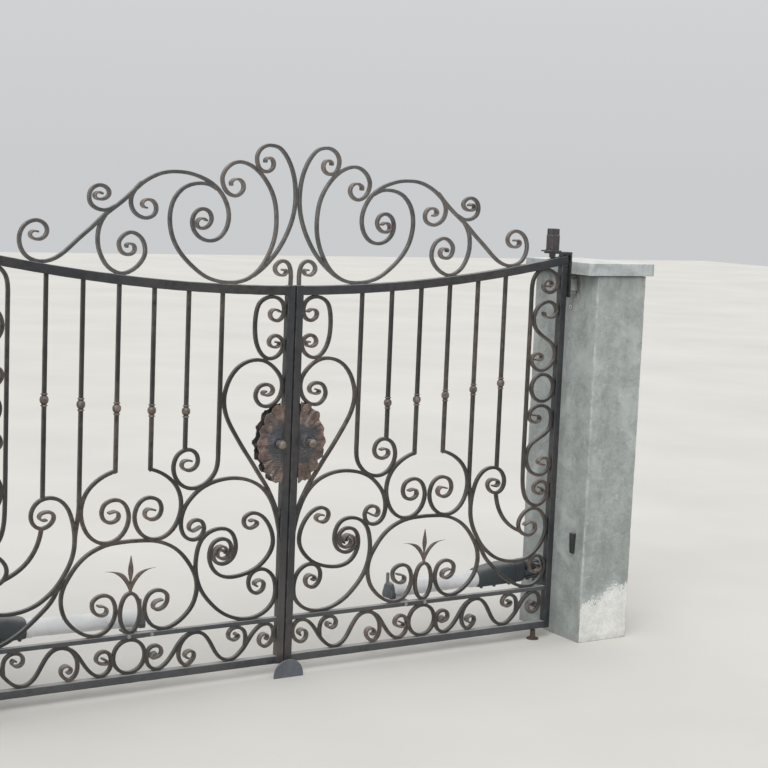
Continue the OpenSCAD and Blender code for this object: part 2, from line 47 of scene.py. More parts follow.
# ---------------------------------------------------------------- camera
def rot(a, ax):
    c, s = math.cos(a), math.sin(a)
    return np.array({0: [[1, 0, 0], [0, c, -s], [0, s, c]],
                     1: [[c, 0, s], [0, 1, 0], [-s, 0, c]],
                     2: [[c, -s, 0], [s, c, 0], [0, 0, 1]]}[ax])


R = rot(math.radians(2.323), 2) @ rot(math.radians(6.846), 0) @ rot(math.radians(-32.443), 1) @ np.array(
    [[1, 0, 0], [0, 0, -1], [0, 1, 0]])
cam_data = bpy.data.cameras.new("photo_camera")
cam_data.sensor_width = 36.0
cam_data.lens = 36.0 * 1685.0 / 768.0
cam_data.clip_end = 200.0
cam = bpy.data.objects.new("photo_camera", cam_data)
scene.collection.objects.link(cam)
C = (-3.0231 - 0.004 - 1.445, -5.3933 - 0.007 - 0.070, 1.7913 + 0.065)
cam.matrix_world = Matrix(((R[0][0], -R[1][0], -R[2][0], C[0]),
                           (R[0][1], -R[1][1], -R[2][1], C[1]),
                           (R[0][2], -R[1][2], -R[2][2], C[2]),
                           (0, 0, 0, 1)))
scene.camera = cam


# ---------------------------------------------------------------- mesh building
class Build:
    """Collects closed shells in gate millimetres and makes one mesh object of them."""

    def __init__(self):
        self.V, self.F, self.rub, self.edge, self.count = [], [], [], [], 0

    def add(self, V, F, rub=0.0, edge=0.0):
        V = np.asarray(V, float)
        n = len(V)
        o = self.count
        self.V.append(V)
        self.F.extend([tuple(i + o for i in f) for f in F])
        self.rub.append(np.broadcast_to(np.asarray(rub, float), (n,)).copy())
        self.edge.append(np.broadcast_to(np.asarray(edge, float), (n,)).copy())
        self.count += n

    def make(self, name, side, mat, body, slot, nodes=(), smooth=True, weighted=True):
        V = np.concatenate(self.V)
        X = np.stack([(side * V[:, 0] - OX) / 1000, (V[:, 1] - OY) / 1000, (V[:, 2] + OZ) / 1000], 1)
        me = bpy.data.meshes.new(name)
        me.from_pydata(X.tolist(), [], self.F)
        for key, val in (("rub", self.rub), ("edge", self.edge)):
            at = me.attributes.new(key, "FLOAT", "POINT")
            at.data.foreach_set("value", np.concatenate(val).astype(np.float32))
        bm = bmesh.new()
        bm.from_mesh(me)
        bmesh.ops.recalc_face_normals(bm, faces=bm.faces)
        bm.to_mesh(me)
        bm.free()
        if smooth:
            me.polygons.foreach_set("use_smooth", np.ones(len(me.polygons), bool))
        me.update()
        ob = bpy.data.objects.new(name, me)
        scene.collection.objects.link(ob)
        me.materials.append(mat)
        if smooth and weighted:
            wn = ob.modifiers.new("weighted", "WEIGHTED_NORMAL")
            wn.weight = 50
            wn.keep_sharp = True
        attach(ob, body)
        if nodes:
            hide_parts(*nodes)
        return ob


def sstep(a, b, x):
    t = np.clip((np.asarray(x, float) - a) / (b - a), 0, 1)
    return t * t * (3 - 2 * t)


def catmull(P, n):
    P = np.asarray(P, float)
    E = np.vstack([P[:1], P, P[-1:]])
    out = []
    for i in range(len(P) - 1):
        a, b, c, d = E[i], E[i + 1], E[i + 2], E[i + 3]
        for k in range(n):
            t = k / n
            out.append(0.5 * ((2 * b) + (c - a) * t + (2 * a - 5 * b + 4 * c - d) * t * t + (3 * b - a - 3 * c + d) * t ** 3))
    out.append(P[-1])
    return np.array(out)


def relax(Q, times):
    """Evens out a read-off curve without moving its ends."""
    Q = Q.copy()
    for _ in range(times):
        Q[1:-1] = 0.25 * Q[:-2] + 0.5 * Q[1:-1] + 0.25 * Q[2:]
    return Q


def arc_len(Q):
    return np.concatenate([[0], np.cumsum(np.linalg.norm(np.diff(Q, axis=0), axis=1))])


def thin_out(Q, turn=9.0, step=16.0):
    """Keeps enough of the points for the bends."""
    T = np.diff(Q, axis=0)
    T /= np.maximum(np.linalg.norm(T, axis=1, keepdims=True), 1e-9)
    keep, bend, run = [0], 0.0, 0.0
    seg = np.linalg.norm(np.diff(Q, axis=0), axis=1)
    for i in range(1, len(Q) - 1):
        bend += math.degrees(math.acos(max(-1.0, min(1.0, float(T[i - 1] @ T[i])))))
        run += seg[i - 1]
        if bend >= turn or run >= step:
            keep.append(i)
            bend, run = 0.0, 0.0
    keep.append(len(Q) - 1)
    return Q[keep]


CORNER = 3


def sweep(B, P, w, d, ends=(1, 1), r=1.7, y=0.0, n=8, smooth_times=10, rubs=(1.0, 1.0), closed=False,
          step=16.0, wob=0.2, seed=0.0, base_rub=0.0, raw=False):
    """A bar of section w by d along a flat route in x and z. An end of kind 1 is a rolled scroll end, 0 is cut square."""
    if raw:
        Q = np.asarray(P, float)
    else:
        Q = catmull(P, n)
        if not closed and smooth_times:
            Q = relax(Q, smooth_times)
        Q = thin_out(Q, step=step)
    S = arc_len(Q)
    L = S[-1]
    if closed:
        Q = Q[:-1]
        S = S[:-1]
        T = np.roll(Q, -1, 0) - np.roll(Q, 1, 0)
    else:
        T = np.empty_like(Q)
        T[1:-1] = Q[2:] - Q[:-2]
        T[0] = Q[1] - Q[0]
        T[-1] = Q[-1] - Q[-2]
    T /= np.maximum(np.linalg.norm(T, axis=1, keepdims=True), 1e-9)
    N = np.stack([-T[:, 1], T[:, 0]], 1)
    m = len(Q)
    a = np.full(m, w / 2.0)
    b = np.full(m, d / 2.0)
    rub = np.full(m, float(base_rub))
    tip_shade_factor = np.ones(m)
    if not closed:
        for e, dist, rb in ((ends[0], S, rubs[0]), (ends[1], L - S, rubs[1])):
            if e == 1:
                a *= 0.50 + 0.50 * sstep(0, 120, dist)
                b *= 1 + 0.95 * (1 - sstep(0, 130, dist)) - 0.20 * (1 - sstep(0, 7, dist))
                rub = np.maximum(rub, rb * (1 - 0.80 * sstep(20, 170, dist) - 0.2 * sstep(170, 330, dist)))
                # the last millimetres of a rolled end keep little copper, which paints shade in the heart of the curl
                tip_shade_factor *= 1 - 0.85 * (1 - sstep(6, 25, dist))
            elif e == 2:
                a *= 0.12 + 0.88 * sstep(0, 75, dist)
                b *= 0.30 + 0.70 * sstep(0, 60, dist)
                rub = np.maximum(rub, rb * (1 - sstep(20, 120, dist)))
    rub = rub * tip_shade_factor
    if wob:
        jig = np.array([noise.noise(Vector((s * 0.021, seed, 3.1))) for s in S])
        jag = np.array([noise.noise(Vector((s * 0.017, seed, 8.7))) for s in S])
        a *= 1 + 0.05 * jig
        b *= 1 + 0.03 * jag
    rr = np.minimum(r, 0.8 * np.minimum(a, b))
    U, W, E = [], [], []
    for sx, sy, a0 in ((1, 1, 0), (-1, 1, 90), (-1, -1, 180), (1, -1, 270)):
        for k in range(CORNER):
            g = math.radians(a0 + 90.0 * k / (CORNER - 1))
            U.append(sx * (a - rr) + rr * math.cos(g))
            W.append(sy * (b - rr) + rr * math.sin(g))
            E.append(1.0 if 0 < k < CORNER - 1 else 0.0)
    U, W = np.array(U).T, np.array(W).T
    K = U.shape[1]
    V = np.empty((m, K, 3))
    V[:, :, 0] = Q[:, None, 0] + N[:, None, 0] * U
    V[:, :, 2] = Q[:, None, 1] + N[:, None, 1] * U
    V[:, :, 1] = y + W
    edge = np.tile(np.array(E), (m, 1))
    # the side of a curl that faces its centre keeps less copper, which paints shade where the curl turns in on itself
    turn = np.zeros(m)
    turn[1:-1] = np.sign(T[:-2, 0] * T[2:, 1] - T[:-2, 1] * T[2:, 0])
    if m > 2:
        turn[0], turn[-1] = turn[1], turn[-2]
    inner_curl_shade = np.clip(turn[:, None] * U / np.maximum(a, 1e-6)[:, None], 0.0, 1.0)
    rub_and_shade = rub[:, None] * (1.0 - 0.85 * inner_curl_shade)
    faces = []
    rings = m if closed else m - 1
    for i in range(rings):
        p, q = i * K, ((i + 1) % m) * K
        for k in range(K):
            k2 = (k + 1) % K
            faces.append((p + k, p + k2, q + k2, q + k))
    V = V.reshape(-1, 3)
    edge, rub_and_shade = edge.ravel(), rub_and_shade.ravel()
    if not closed:
        for i, sgn in ((0, -1), (m - 1, 1)):
            c = np.array([Q[i][0], y, Q[i][1]])
            ring = V[i * K:(i + 1) * K]
            off = np.array([T[i][0], 0, T[i][1]]) * sgn * min(1.6, 0.35 * a[i] * 2)
            cap = c + (ring - c) * 0.78 + off
            base = len(V)
            V = np.vstack([V, cap])
            edge = np.concatenate([edge, np.full(K, 0.5)])
            rub_and_shade = np.concatenate([rub_and_shade, np.full(K, rub[i])])
            for k in range(K):
                k2 = (k + 1) % K
                faces.append((i * K + k, i * K + k2, base + k2, base + k))
            faces.append(tuple(base + k for k in range(K)))
    B.add(V, faces, rub_and_shade, edge)
    return Q, a


def ring_route(cx, cz, a, b, n=56):
    return [(cx + a * math.cos(2 * math.pi * i / n), cz + b * math.sin(2 * math.pi * i / n)) for i in range(n + 1)]


def lathe(B, prof, centre, axis, seg=32, rub=0.0, edge=None, flat_ends=True):
    """prof is a list of (radius, height) along axis, from centre. The first and last radius may be 0."""
    c = np.array(centre, float)
    ax = np.array(axis, float)
    ax /= np.linalg.norm(ax)
    u = np.cross(ax, [0.3, 0.5, 0.8])
    u /= np.linalg.norm(u)
    v = np.cross(ax, u)
    V, F, ids, ed = [], [], [], []
    for i, (rad, h) in enumerate(prof):
        e = edge[i] if edge else 0.0
        if rad <= 1e-6:
            ids.append([len(V)])
            V.append(c + ax * h)
            ed.append(e)
        else:
            row = []
            for k in range(seg):
                g = 2 * math.pi * k / seg
                row.append(len(V))
                V.append(c + ax * h + (u * math.cos(g) + v * math.sin(g)) * rad)
                ed.append(e)
            ids.append(row)
    for p, q in zip(ids[:-1], ids[1:]):
        for k in range(seg):
            k2 = (k + 1) % seg
            if len(p) == 1 and len(q) > 1:
                F.append((p[0], q[k], q[k2]))
            elif len(q) == 1 and len(p) > 1:
                F.append((p[k], p[k2], q[0]))
            elif len(p) > 1 and len(q) > 1:
                F.append((p[k], p[k2], q[k2], q[k]))
    for row in (ids[0], ids[-1]):
        if len(row) > 1:
            F.append(tuple(row))
    B.add(V, F, rub, np.array(ed))


def soft_box(B, lo, hi, r=2.0, cuts=0, rub=0.0, turn=0.0, pivot=(0, 0), jitter=0.0, seed=0.0):
    """A box with rounded edges. turn rotates it about Z at pivot, in degrees."""
    bm = bmesh.new()
    bmesh.ops.create_cube(bm, size=1.0)
    for v in bm.verts:
        v.co = Vector((lo[i] if v.co[i] < 0 else hi[i] for i in range(3)))
    rr = min(r, 0.45 * min(abs(hi[i] - lo[i]) for i in range(3)))
    bmesh.ops.bevel(bm, geom=bm.edges[:], offset=rr, segments=3, profile=0.5, affect="EDGES")
    if cuts:
        long_edges = [e for e in bm.edges if e.calc_length() > 12]
        bmesh.ops.subdivide_edges(bm, edges=long_edges, cuts=cuts, use_grid_fill=True)
    bm.verts.ensure_lookup_table()
    V = np.array([v.co[:] for v in bm.verts])
    F = [tuple(v.index for v in f.verts) for f in bm.faces]
    bm.free()
    near = np.zeros(len(V))
    hit = np.zeros(len(V))
    for i in range(3):
        dlo, dhi = V[:, i] - min(lo[i], hi[i]), max(lo[i], hi[i]) - V[:, i]
        hit += (np.minimum(dlo, dhi) < rr * 0.75)
    edge = (hit >= 2).astype(float)
    if jitter:
        V += jitter * np.array([[noise.noise(Vector((p[0] * .03 + seed, p[1] * .03, p[2] * .03 + j))) for j in (0, 7, 13)] for p in V])
    if turn:
        c, s = math.cos(math.radians(turn)), math.sin(math.radians(turn))
        x, yv = V[:, 0] - pivot[0], V[:, 1] - pivot[1]
        V[:, 0], V[:, 1] = pivot[0] + c * x - s * yv, pivot[1] + s * x + c * yv
    B.add(V, F, rub, edge)


def hex_bolt(B, centre, axis, size=13.0, head=6.0, rub=0.3):
    """A hexagon head with a washer, standing out along axis."""
    lathe(B, [(size * 0.78, 0), (size * 0.78, 1.4), (size * 0.70, 1.8)], centre, axis, seg=28, rub=rub)
    c = np.array(centre, float)
    ax = np.array(axis, float) / np.linalg.norm(axis)
    lathe(B, [(size * 0.575, 1.5), (size * 0.575, head), (size * 0.50, head + 0.9)], c, ax, seg=6, rub=rub, edge=[0, 1, 0.5])


def weld(B, x, z, tx, tz, long=9.0, wide=4.2, deep=7.4, seed=0.0):
    """A flattened bead that fills the groove where two bars touch."""
    V, F = [], []
    nu, nv = 12, 7
    V.append((0, 0, -1))
    for i in range(1, nv):
        ph = math.pi * i / nv
        for k in range(nu):
            th = 2 * math.pi * k / nu
            V.append((math.sin(ph) * math.cos(th), math.sin(ph) * math.sin(th), -math.cos(ph)))
    V.append((0, 0, 1))
    last = len(V) - 1
    for k in range(nu):
        F.append((0, 1 + (k + 1) % nu, 1 + k))
        F.append((last, last - nu + k, last - nu + (k + 1) % nu))
    for i in range(nv - 2):
        for k in range(nu):
            a = 1 + i * nu + k
            b = 1 + i * nu + (k + 1) % nu
            F.append((a, b, b + nu, a + nu))
    V = np.array(V)
    bump = np.array([1 + 0.16 * noise.noise(Vector((p[0] * 2.3 + seed, p[1] * 2.3, p[2] * 2.3))) for p in V])[:, None]
    V = V * bump
    t = V[:, 0] * long
    u = V[:, 1] * wide
    yv = V[:, 2] * deep
    B.add(np.stack([x + tx * t - tz * u, yv, z + tz * t + tx * u], 1), F, 0.25, 0.0)


def find_welds(B, routes, seed=0.0, gap=2.6):
    """routes is a list of (points, half widths). A bead goes wherever two of them come together."""
    pts = []
    for Q, a in routes:
        Q = np.asarray(Q, float)
        S = arc_len(Q)
        m = max(2, int(S[-1] / 5.0))
        s = np.linspace(0, S[-1], m)
        x = np.interp(s, S, Q[:, 0])
        z = np.interp(s, S, Q[:, 1])
        h = np.interp(s, S, a)
        pts.append((np.stack([x, z], 1), h))
    made = []
    for i in range(len(pts)):
        for j in range(i + 1, len(pts)):
            A, ha = pts[i]
            Bp, hb = pts[j]
            if (A[:, 0].min() > Bp[:, 0].max() + 20 or Bp[:, 0].min() > A[:, 0].max() + 20
                    or A[:, 1].min() > Bp[:, 1].max() + 20 or Bp[:, 1].min() > A[:, 1].max() + 20):
                continue
            D = np.linalg.norm(A[:, None] - Bp[None], axis=2) - ha[:, None] - hb[None]
            row = D.min(1)
            k = 0
            while k < len(row):
                if row[k] < gap:
                    e = k
                    while e + 1 < len(row) and row[e + 1] < gap:
                        e += 1
                    c = k + int(np.argmin(row[k:e + 1]))
                    q = int(np.argmin(D[c]))
                    w = ha[c] / (ha[c] + hb[q])
                    mid = A[c] * (1 - w) + Bp[q] * w
                    if all(np.linalg.norm(mid - o) > 14 for o in made):
                        t = A[min(c + 1, len(A) - 1)] - A[max(c - 1, 0)]
                        t = t / max(np.linalg.norm(t), 1e-6)
                        length = min(16.0, 6.0 + 0.22 * (e - k + 1) * 5.0)
                        weld(B, mid[0], mid[1], t[0], t[1], long=length, wide=3.6, deep=7.2, seed=seed + len(made))
                        made.append(mid)
                    k = e + 1
                else:
                    k += 1
    return len(made)


# ---------------------------------------------------------------- node materials
def new_mat(name):
    m = bpy.data.materials.new(name)
    m.use_nodes = True
    nt = m.node_tree
    bsdf = nt.nodes["Principled BSDF"]
    return m, nt, bsdf


class Net:
    """Short calls for wiring nodes."""

    def __init__(self, nt):
        self.nt = nt
        self.tc = nt.nodes.new("ShaderNodeTexCoord").outputs["Object"]

    def node(self, kind, **props):
        n = self.nt.nodes.new(kind)
        for k, v in props.items():
            setattr(n, k, v)
        return n

    def link(self, a, b):
        self.nt.links.new(a, b)

    def scaled(self, s):
        m = self.node("ShaderNodeMapping")
        m.inputs["Scale"].default_value = s
        self.link(self.tc, m.inputs["Vector"])
        return m.outputs["Vector"]

    def noise(self, scale, detail=4.0, rough=0.55, vec=None, dist=0.0):
        n = self.node("ShaderNodeTexNoise")
        n.inputs["Scale"].default_value = scale
        n.inputs["Detail"].default_value = detail
        n.inputs["Roughness"].default_value = rough
        n.inputs["Distortion"].default_value = dist
        self.link(vec if vec is not None else self.tc, n.inputs["Vector"])
        return n.outputs["Fac"]

    def voronoi(self, scale, vec=None, feature="F1", out="Distance"):
        n = self.node("ShaderNodeTexVoronoi", feature=feature)
        n.inputs["Scale"].default_value = scale
        self.link(vec if vec is not None else self.tc, n.inputs["Vector"])
        return n.outputs[out]

    def ramp(self, fac, stops, interp="LINEAR"):
        r = self.node("ShaderNodeValToRGB")
        r.color_ramp.interpolation = interp
        el = r.color_ramp.elements
        while len(el) < len(stops):
            el.new(0.5)
        for e, (p, c) in zip(el, stops):
            e.position = p
            e.color = c if len(c) == 4 else (*c, 1)
        self.link(fac, r.inputs["Fac"])
        return r.outputs["Color"]

    def grey(self, fac, lo, hi, a=0.0, b=1.0):
        n = self.node("ShaderNodeMapRange")
        n.inputs["From Min"].default_value = lo
        n.inputs["From Max"].default_value = hi
        n.inputs["To Min"].default_value = a
        n.inputs["To Max"].default_value = b
        self.link(fac, n.inputs["Value"])
        return n.outputs["Result"]

    def math(self, op, a, b=None, clamp=False):
        n = self.node("ShaderNodeMath", operation=op, use_clamp=clamp)
        for i, x in enumerate((a, b)):
            if x is None:
                continue
            if isinstance(x, (int, float)):
                n.inputs[i].default_value = x
            else:
                self.link(x, n.inputs[i])
        return n.outputs[0]

    def mix(self, fac, a, b, kind="MIX"):
        n = self.node("ShaderNodeMix", data_type="RGBA", blend_type=kind)
        for sock, x in ((n.inputs[0], fac), (n.inputs[6], a), (n.inputs[7], b)):
            if isinstance(x, (int, float)):
                sock.default_value = x
            elif isinstance(x, tuple):
                sock.default_value = x if len(x) == 4 else (*x, 1)
            else:
                self.link(x, sock)
        return n.outputs[2]

    def attr(self, name):
        n = self.node("ShaderNodeAttribute", attribute_name=name)
        return n.outputs["Fac"]

    def up(self):
        """How far a surface faces up, 0 to 1."""
        g = self.node("ShaderNodeNewGeometry")
        s = self.node("ShaderNodeSeparateXYZ")
        self.link(g.outputs["Normal"], s.inputs[0])
        return self.math("MAXIMUM", s.outputs["Z"], 0.0)

    def height(self):
        s = self.node("ShaderNodeSeparateXYZ")
        self.link(self.tc, s.inputs[0])
        return s.outputs["Z"]

    def bump(self, h, dist, strength=1.0, normal=None):
        n = self.node("ShaderNodeBump")
        n.inputs["Strength"].default_value = strength
        n.inputs["Distance"].default_value = dist
        self.link(h, n.inputs["Height"])
        if normal is not None:
            self.link(normal, n.inputs["Normal"])
        return n.outputs["Normal"]


def iron_material(name, dark, light, copper=(0.34, 0.255, 0.215), dust=(0.30, 0.30, 0.295), rub_gain=1.0, rust=0.25,
                  wear_and_painted_light=(0.17, 0.145, 0.13), edge_wear_and_highlight=0.45, film=(0.25, 0.7), hammer=0.0007, brown=(0.050, 0.042, 0.040), foot=False):
    """Black-grey paint on forged iron, rubbed with copper where the mesh says so, scuffed and painted with highlights
    at its edges, under a pale film on what faces up that is part dust, part painted highlight.
    """
    m, nt, bs = new_mat(name)
    g = Net(nt)
    big = g.noise(5.0, 3.0, 0.5)
    mid = g.noise(38.0, 5.0, 0.6)
    fine = g.noise(260.0, 4.0, 0.65)
    paint = g.ramp(g.math("ADD", g.math("MULTIPLY", big, 0.5), g.math("MULTIPLY", mid, 0.5)),
                   [(0.34, dark), (0.62, light)])
    stale = g.math("MULTIPLY", g.grey(g.noise(2.6, 3.0), 0.47, 0.60), g.grey(mid, 0.34, 0.60))
    paint = g.mix(g.math("MULTIPLY", stale, 0.75), paint, brown)
    if foot:
        # the meeting stiles are rubbed brown towards the ground
        at = g.node("ShaderNodeSeparateXYZ")
        g.link(g.tc, at.inputs[0])
        low = g.math("MULTIPLY", g.grey(g.math("ABSOLUTE", g.math("ADD", at.outputs["X"], 1.445)), 0.045, 0.036), g.grey(at.outputs["Z"], 0.60, 0.08))
        low = g.math("MULTIPLY", low, g.grey(g.noise(6.0, 4.0, 0.6), 0.36, 0.56))
        low = g.math("MULTIPLY", low, g.grey(at.outputs["X"], -1.440, -1.450, 0.30, 0.80))
        paint = g.mix(low, paint, (0.092, 0.078, 0.072))
    # rubbed copper on the rolled ends; the rub attribute is lowered on the curls' inside faces and at their tips, which
    # paints shade there
    rub = g.math("MULTIPLY", g.attr("rub"), rub_gain)
    patch = g.grey(g.noise(55.0, 6.0, 0.7), 0.36, 0.62)
    amount = g.math("MULTIPLY", rub, g.math("ADD", 0.18, g.math("MULTIPLY", patch, 0.82)), clamp=True)
    cop = g.mix(g.grey(g.noise(90.0, 4.0, 0.6), 0.35, 0.65), copper, tuple(0.42 * c for c in copper))
    col = g.mix(amount, paint, cop)
    # edges painted lighter: partly scuffed, brownish metal, partly painted highlight where the bar corners catch the
    # light
    edge = g.math("MULTIPLY", g.attr("edge"), g.grey(g.noise(24.0, 5.0, 0.65), 0.42, 0.70))
    col = g.mix(g.math("MULTIPLY", edge, edge_wear_and_highlight), col, wear_and_painted_light)
    # pinhead rust
    if rust:
        spots = g.math("MULTIPLY", g.grey(g.voronoi(140.0), 0.16, 0.04), g.grey(g.noise(9.0, 3.0), 0.52, 0.66))
        col = g.mix(g.math("MULTIPLY", spots, rust, clamp=True), col, (0.19, 0.075, 0.032))
    # a pale film on what faces up: part dust, part painted highlight where the tops catch the sky
    film = g.math("MULTIPLY", g.math("POWER", g.up(), 2.0), g.grey(g.noise(17.0, 4.0), 0.3, 0.75, *film))
    col = g.mix(film, col, dust)
    g.link(col, bs.inputs["Base Color"])
    met = g.math("MULTIPLY", amount, 0.45)
    g.link(met, bs.inputs["Metallic"])
    ro = g.math("ADD", g.grey(fine, 0.3, 0.7, 0.28, 0.44), g.math("MULTIPLY", film, 0.25))
    g.link(ro, bs.inputs["Roughness"])
    ham = g.math("ADD", g.math("MULTIPLY", g.voronoi(95.0, feature="SMOOTH_F1"), 0.8), g.math("MULTIPLY", mid, 0.6))
    nrm = g.bump(ham, hammer, 0.55)
    nrm = g.bump(fine, 0.00018, 0.7, nrm)
    g.link(nrm, bs.inputs["Normal"])
    return m


def rosette_material():
    """Hammered copper sheet under dark paint, rubbed back over the ruffles, with painted glints on the wave crests."""
    m, nt, bs = new_mat("copper_patina_sheet")
    g = Net(nt)
    wave = g.node("ShaderNodeTexWave", wave_type="BANDS", bands_direction="Z", wave_profile="SIN")
    wave.inputs["Scale"].default_value = 44.0
    wave.inputs["Distortion"].default_value = 9.0
    wave.inputs["Detail"].default_value = 2.0
    wave.inputs["Detail Scale"].default_value = 1.6
    g.link(g.tc, wave.inputs["Vector"])
    w = wave.outputs["Fac"]
    mid = g.noise(30.0, 6.0, 0.65)
    fine = g.noise(190.0, 5.0, 0.7)
    cop = g.ramp(mid, [(0.28, (0.052, 0.041, 0.038)), (0.46, (0.130, 0.096, 0.083)), (0.62, (0.235, 0.170, 0.143)), (0.78, (0.40, 0.33, 0.29))])
    cop = g.mix(g.math("MULTIPLY", g.grey(w, 0.50, 0.20), 0.22), cop, (0.070, 0.056, 0.056))
    wear_and_painted_light = g.math("ADD", g.attr("rub"), g.math("MULTIPLY", g.math("SUBTRACT", mid, 0.5), 1.3))
    wear_and_painted_light = g.grey(wear_and_painted_light, 0.34, 0.66)
    dark = g.mix(g.grey(fine, 0.35, 0.65), (0.022, 0.026, 0.032), (0.055, 0.060, 0.070))
    col = g.mix(wear_and_painted_light, dark, cop)
    # painted glints: pale streaks on the crests of the hammered waves, near the stile
    pos = g.node("ShaderNodeSeparateXYZ")
    g.link(g.tc, pos.inputs[0])
    off = g.math("ABSOLUTE", g.math("ADD", pos.outputs["X"], 1.445))
    glint_lines = g.math("MULTIPLY", g.grey(w, 0.80, 0.96), g.grey(g.math("ADD", off, g.math("MULTIPLY", g.math("SUBTRACT", mid, 0.5), 0.10)), 0.130, 0.085))
    glint_lines = g.math("MULTIPLY", glint_lines, g.grey(g.noise(9.0, 3.0), 0.40, 0.56))
    col = g.mix(g.math("MULTIPLY", glint_lines, 0.42), col, (0.36, 0.32, 0.305))
    # painted glints: pale specks on the rubbed copper
    glint_specks = g.math("MULTIPLY", g.grey(fine, 0.60, 0.74), g.math("MULTIPLY", wear_and_painted_light, 0.5))
    col = g.mix(glint_specks, col, (0.55, 0.46, 0.41))
    col = g.mix(g.math("MULTIPLY", g.attr("edge"), 0.35), col, (0.34, 0.28, 0.25))
    g.link(col, bs.inputs["Base Color"])
    g.link(g.math("MULTIPLY", wear_and_painted_light, 0.55), bs.inputs["Metallic"])
    g.link(g.grey(mid, 0.3, 0.7, 0.50, 0.34), bs.inputs["Roughness"])
    nrm = g.bump(g.math("ADD", g.math("MULTIPLY", w, 0.45), g.math("MULTIPLY", g.voronoi(85.0, feature="SMOOTH_F1"), 1.4)), 0.0011, 0.8)
    nrm = g.bump(fine, 0.0003, 0.8, nrm)
    g.link(nrm, bs.inputs["Normal"])
    return m


